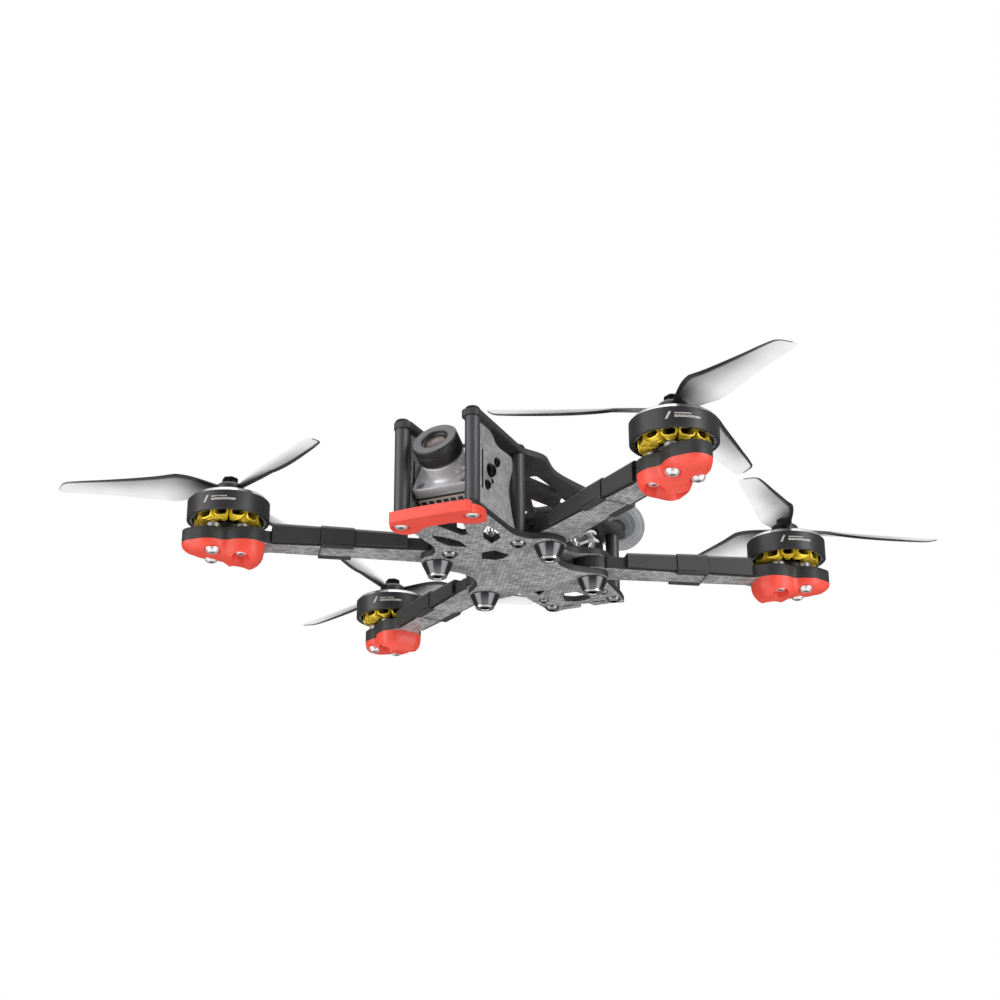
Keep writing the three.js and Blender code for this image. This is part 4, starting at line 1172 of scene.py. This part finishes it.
def stack_spacers():
    bottom = CONTROL_BOARD
    top = bottom + BOARD_THICKNESS
    build = Build()
    for sx, sy in QUADRANTS:
        spot = at(sx * STACK_HOLE, STACK_Y + sy * STACK_HOLE)
        build.lathe([
            (0, DECK), (1.9, DECK), (2, DECK + 0.3), (1.6, 8.8), (2, 9), (2, 10.4), (1.6, 10.7),
            (2.1, 11.1), (2.1, bottom - 0.3), (1.8, bottom), (0, bottom),
        ], 0, 24, spot)
        build.lathe([
            (0, top), (1.9, top), (1.9, top + 1.4, "hex"), (1.1, top + 1.6), (1.1, top + 2.8),
            (0, top + 2.8),
        ], 1, 24, spot)
    settle(build.done("stack_spacers"), [BLACK_PLASTIC, SILVER])


def transmitter():
    build = Build()
    build.block(-9, 9, 32.5, 48, TOP_BOTTOM - 1.25, TOP_BOTTOM)
    build.block(-7.5, 7.5, 34, 46.5, 22, TOP_BOTTOM - 1.2, 1)
    for k in range(6):
        build.block(-7.8, 7.8, 35 + 2.1 * k, 35.6 + 2.1 * k, 22.6, 26.4, 1)
    settle(build.done("transmitter_can"), [BOARD, BLACK_SATIN], "video_transmitter", None, 0.25)


def capacitor_can():
    can = turned("capacitor_can", [
        (0, 0.4), (3.3, 0.4), (3.5, 0), (3.75, 0.05), (4, 0.4), (4, 6.1), (3.75, 6.4), (4, 6.7), (4, 7.7),
        (3.8, 7.95), (3.4, 8), (0, 8),
    ], [1] * 3 + [0] * 6 + [2] * 2)
    place = at(1, 29.5, 18) @ turn(90, "Y")
    settle(can, [CHROME, CHROME, BLACK_PLASTIC], "capacitor", place)
    loops = Build()
    for k in range(6):
        share = k / 5
        loops.tube(smooth_path([
            (8.6, 27.6 + 3.4 * share, 18 - share), (10.5, 27.4 + 3 * share, 20.6 - 2 * share),
            (13 - share, 28.6 + 1.6 * share, 20.4 - 2.6 * share), (14.4 - 2 * share, 30.4, 17.4),
            (11.8, 31.2 - share, 14.6 + share), (8.6, 30.6, 15.6 + share),
        ]), 0.17)
    settle(loops.done("capacitor_leads"), [CHROME], sharp=60)


# Centre lines of the leads: points, radius and look (0 black, 1 red, 2 pale).
LEADS = [
    ([(-2, 24, 15), (3, 27, 19), (9, 30, 23), (11, 34, 24), (8.6, 37, 25)], 0.45, 2),
    ([(0, 24, 15), (5, 27, 17), (12, 31, 21.5), (12.4, 36, 22.4), (8.6, 39, 24.6)], 0.45, 2),
    ([(2, 24, 15), (7, 27, 15.6), (12.8, 31, 18.5), (12.8, 37, 20), (8.6, 41, 24)], 0.45, 2),
    ([(2.6, 2, 15), (3, -8, 15.5), (5, -18, 15), (4, -28, 13), (3, -34.1, 12)], 0.45, 2),
    ([(1.2, 2, 15), (1.4, -9, 15.2), (2, -20, 14.6), (2, -30, 12.8), (1, -34.1, 11.6)], 0.45, 0),
    ([(-0.2, 2, 15), (-0.6, -9, 15.4), (-1.6, -20, 14.4), (-1, -30, 12.4), (-1, -34.1, 11.2)], 0.45, 1),
    ([(-3, 25, 11), (-5, 29, 12.5), (-8, 34, 15.5), (-11.5, 40, 19), (-12, 46, 20), (-11.4, 50, 19)],
     1.25, 1),
    ([(3, 25, 11), (0, 30, 12.6), (-5, 35, 16), (-9.5, 40, 20.4), (-11.4, 45, 23), (-11.4, 50, 22)],
     1.25, 0),
    ([(0, 46, 24), (0.8, 49, 22.5), (0.3, 51.5, 21.2), (0, 53, 21.6)], 0.7, 0),
]


def wiring():
    """Leads between the boards, the transmitter, the camera and the battery plug."""
    build = Build()
    for points, radius, look in LEADS:
        build.tube(smooth_path(points), radius, look, 10)
    settle(build.done("leads"), [CABLE, CABLE_RED, CABLE_PALE], sharp=60)


# ---- battery pad and antenna

def battery_pad():
    """A ribbed grip pad round the top plate's cut-outs."""
    outline = rounded(mirrored([(10, -24, 3), (12, -12, 4), (12, 20, 4), (10, 42, 3)]))
    window = rounded(mirrored([(9.6, -7.5, 1.5), (9.6, 33.5, 1.5)]))
    pad = sheet("battery_grip", outline, [window], TOP_FACE, PAD_FACE - 0.15, 0.1)
    settle(pad, [FOAM], "battery_pad")
    ribs = Build()
    for y in (-20.6, -17.2, -13.8, -10.4, 35.4, 38.2):
        ribs.block(-8.4, 8.4, y, y + 1.7, PAD_FACE - 0.3, PAD_FACE)
    settle(ribs.done("battery_grip_ribs"), [FOAM], bevel=0.12)


def antenna():
    axis = at(*ANTENNA_ROOT) @ turn(ANTENNA_ANGLE - 90, "X")
    start, end, radius = HEAD_START, HEAD_START + HEAD_LENGTH, HEAD_RADIUS
    mount = Build()
    mount.block(-6, 6, 50, 59.3, 19.5, TOP_BOTTOM)
    bore = turned("bore", [(0, -20), (2.2, -20), (2.2, 20), (0, 20)], 0, 32, axis)
    holder = combine(mount.done("antenna_holder"), [bore])
    settle(holder, [BLACK_PLASTIC], "antenna_mount", None, 0.5, 35, 3)

    stem = Build()
    stem.lathe([
        (0, 0), (1.6, 0), (1.8, 0.2), (1.8, 11.8), (1.5, 12.3), (1.3, 12.6), (1.3, start - 4),
        (2.2, start - 3), (3.1, start + 0.4), (0, start + 0.4),
    ], 0, 32)
    stem.lathe([(0, start + 0.8), (5.2, start + 0.8), (5.2, start + 5.6), (0, start + 5.6)], 1)
    settle(stem.done("antenna_stem"), [CABLE, BLACK_SATIN], None, axis, 0.1, bake=True)

    head = turned("antenna_head", [
        (3, start + 0.1), (5.3, start), (5.5, start + 0.35), (6.3, start + 0.4), (6.45, start + 0.75),
        (7.2, start + 0.8), (7.4, start + 1.1), (8.2, start + 1.3), (radius - 0.25, start + 1.9),
        (radius, start + 2.5), (radius, end - 2.5), (radius - 0.4, end - 1.5), (radius - 1.5, end - 0.5),
        (4, end - 0.25), (0, end - 0.25),
    ], 0, 96)
    settle(head, [ANTENNA_SHELL], "antenna", axis, 0, 25, bake=True)


# ---- everything together

base_plate()
mid_plate()
top_plate()
camera_side_plates()
arm_group()
motors()
posts()
frame_screws()
bumper()
camera_unit()
power_board()
control_board()
stack_spacers()
transmitter()
capacitor_can()
wiring()
battery_pad()
antenna()

# ---- floor, light and camera

FLOOR_LEVEL, FLOOR_HALF, FLOOR_THICKNESS = -550, 450, 20
CAMERA_PLACE = Vector((0.222743, -0.500317, -0.188561))
CAMERA_RIGHT = Vector((0.90921872, 0.41629473, -0.0044741))
CAMERA_UP = Vector((0.15422839, -0.32682522, 0.93241562))
CAMERA_BACK = CAMERA_RIGHT.cross(CAMERA_UP)
WHITE = (1, 1, 1, 1)


def pale_floor():
    half, level = FLOOR_HALF, FLOOR_LEVEL
    build = Build()
    build.block(-half, half, -half, half, level - FLOOR_THICKNESS, level)
    floor = build.done("floor")
    look = Look("pale_floor")
    color = look.mix(look.noise(400), grey(236), grey(244))
    floor.data.materials.append(look.finish(Base_Color=color, Roughness=0.8))


def studio_world():
    """White to the camera. As a light it is bright at both sides, above and below, and dark in front."""
    world = bpy.data.worlds.new("studio")
    bpy.context.scene.world = world
    world.use_nodes = True
    nodes = Nodes(world.node_tree)
    direction = nodes.add("TexCoord", output="Generated")

    def along(axis):
        return nodes.add("VectorMath", {0: direction, 1: axis}, "Value", operation="DOT_PRODUCT")

    up = along((0, 0, 1))
    sideways = nodes.math("ABSOLUTE", along(CAMERA_RIGHT))
    windows = nodes.ramp(sideways, 0.42, 0.62) * nodes.ramp(along(CAMERA_BACK), 0.05, 0.3)
    above = nodes.ramp(up, 0.35, 0.9)
    below = nodes.ramp(up * -1, 0.55, 0.9)
    lit = nodes.add("Background", {0: WHITE, 1: windows * 2 + above * 0.8 + below * 1.6 + 0.14})
    seen = nodes.add("Background", {0: WHITE, 1: 1})
    to_camera = nodes.add("LightPath", output="Is Camera Ray")
    nodes.add("OutputWorld", {0: nodes.add("MixShader", {0: to_camera, 1: lit, 2: seen})})


def softbox(name, place, width, height, watts):
    """A rectangular lamp that faces the aircraft."""
    light = bpy.data.lights.new(name, "AREA")
    light.shape = "RECTANGLE"
    light.size = width
    light.size_y = height
    light.energy = watts
    lamp = link(name, light)
    lamp.location = place
    lamp.rotation_mode = "QUATERNION"
    lamp.rotation_quaternion = (-Vector(place)).to_track_quat("-Z", "Y")
    lamp.visible_camera = False


def photo_camera():
    """A long lens, low in front of the nose on the aircraft's left, looking up at it."""
    data = bpy.data.cameras.new("camera")
    data.lens = 67.65
    data.sensor_width = 36
    data.clip_start = 0.01
    data.clip_end = 20
    camera = link("camera", data)
    columns = (CAMERA_RIGHT, CAMERA_UP, CAMERA_BACK, CAMERA_PLACE)
    camera.matrix_world = Matrix([[column[i] for column in columns] for i in range(3)]).to_4x4()
    bpy.context.scene.camera = camera


pale_floor()
studio_world()
softbox("key_left", (-0.8, -0.6, 0.15), 0.3, 1, 3)
softbox("key_right", (0.95, -0.15, 0.1), 0.3, 1, 3)
softbox("overhead", (0, 0.1, 1.1), 1.2, 1.2, 5)
photo_camera()
bpy.context.scene.view_settings.view_transform = "Standard"
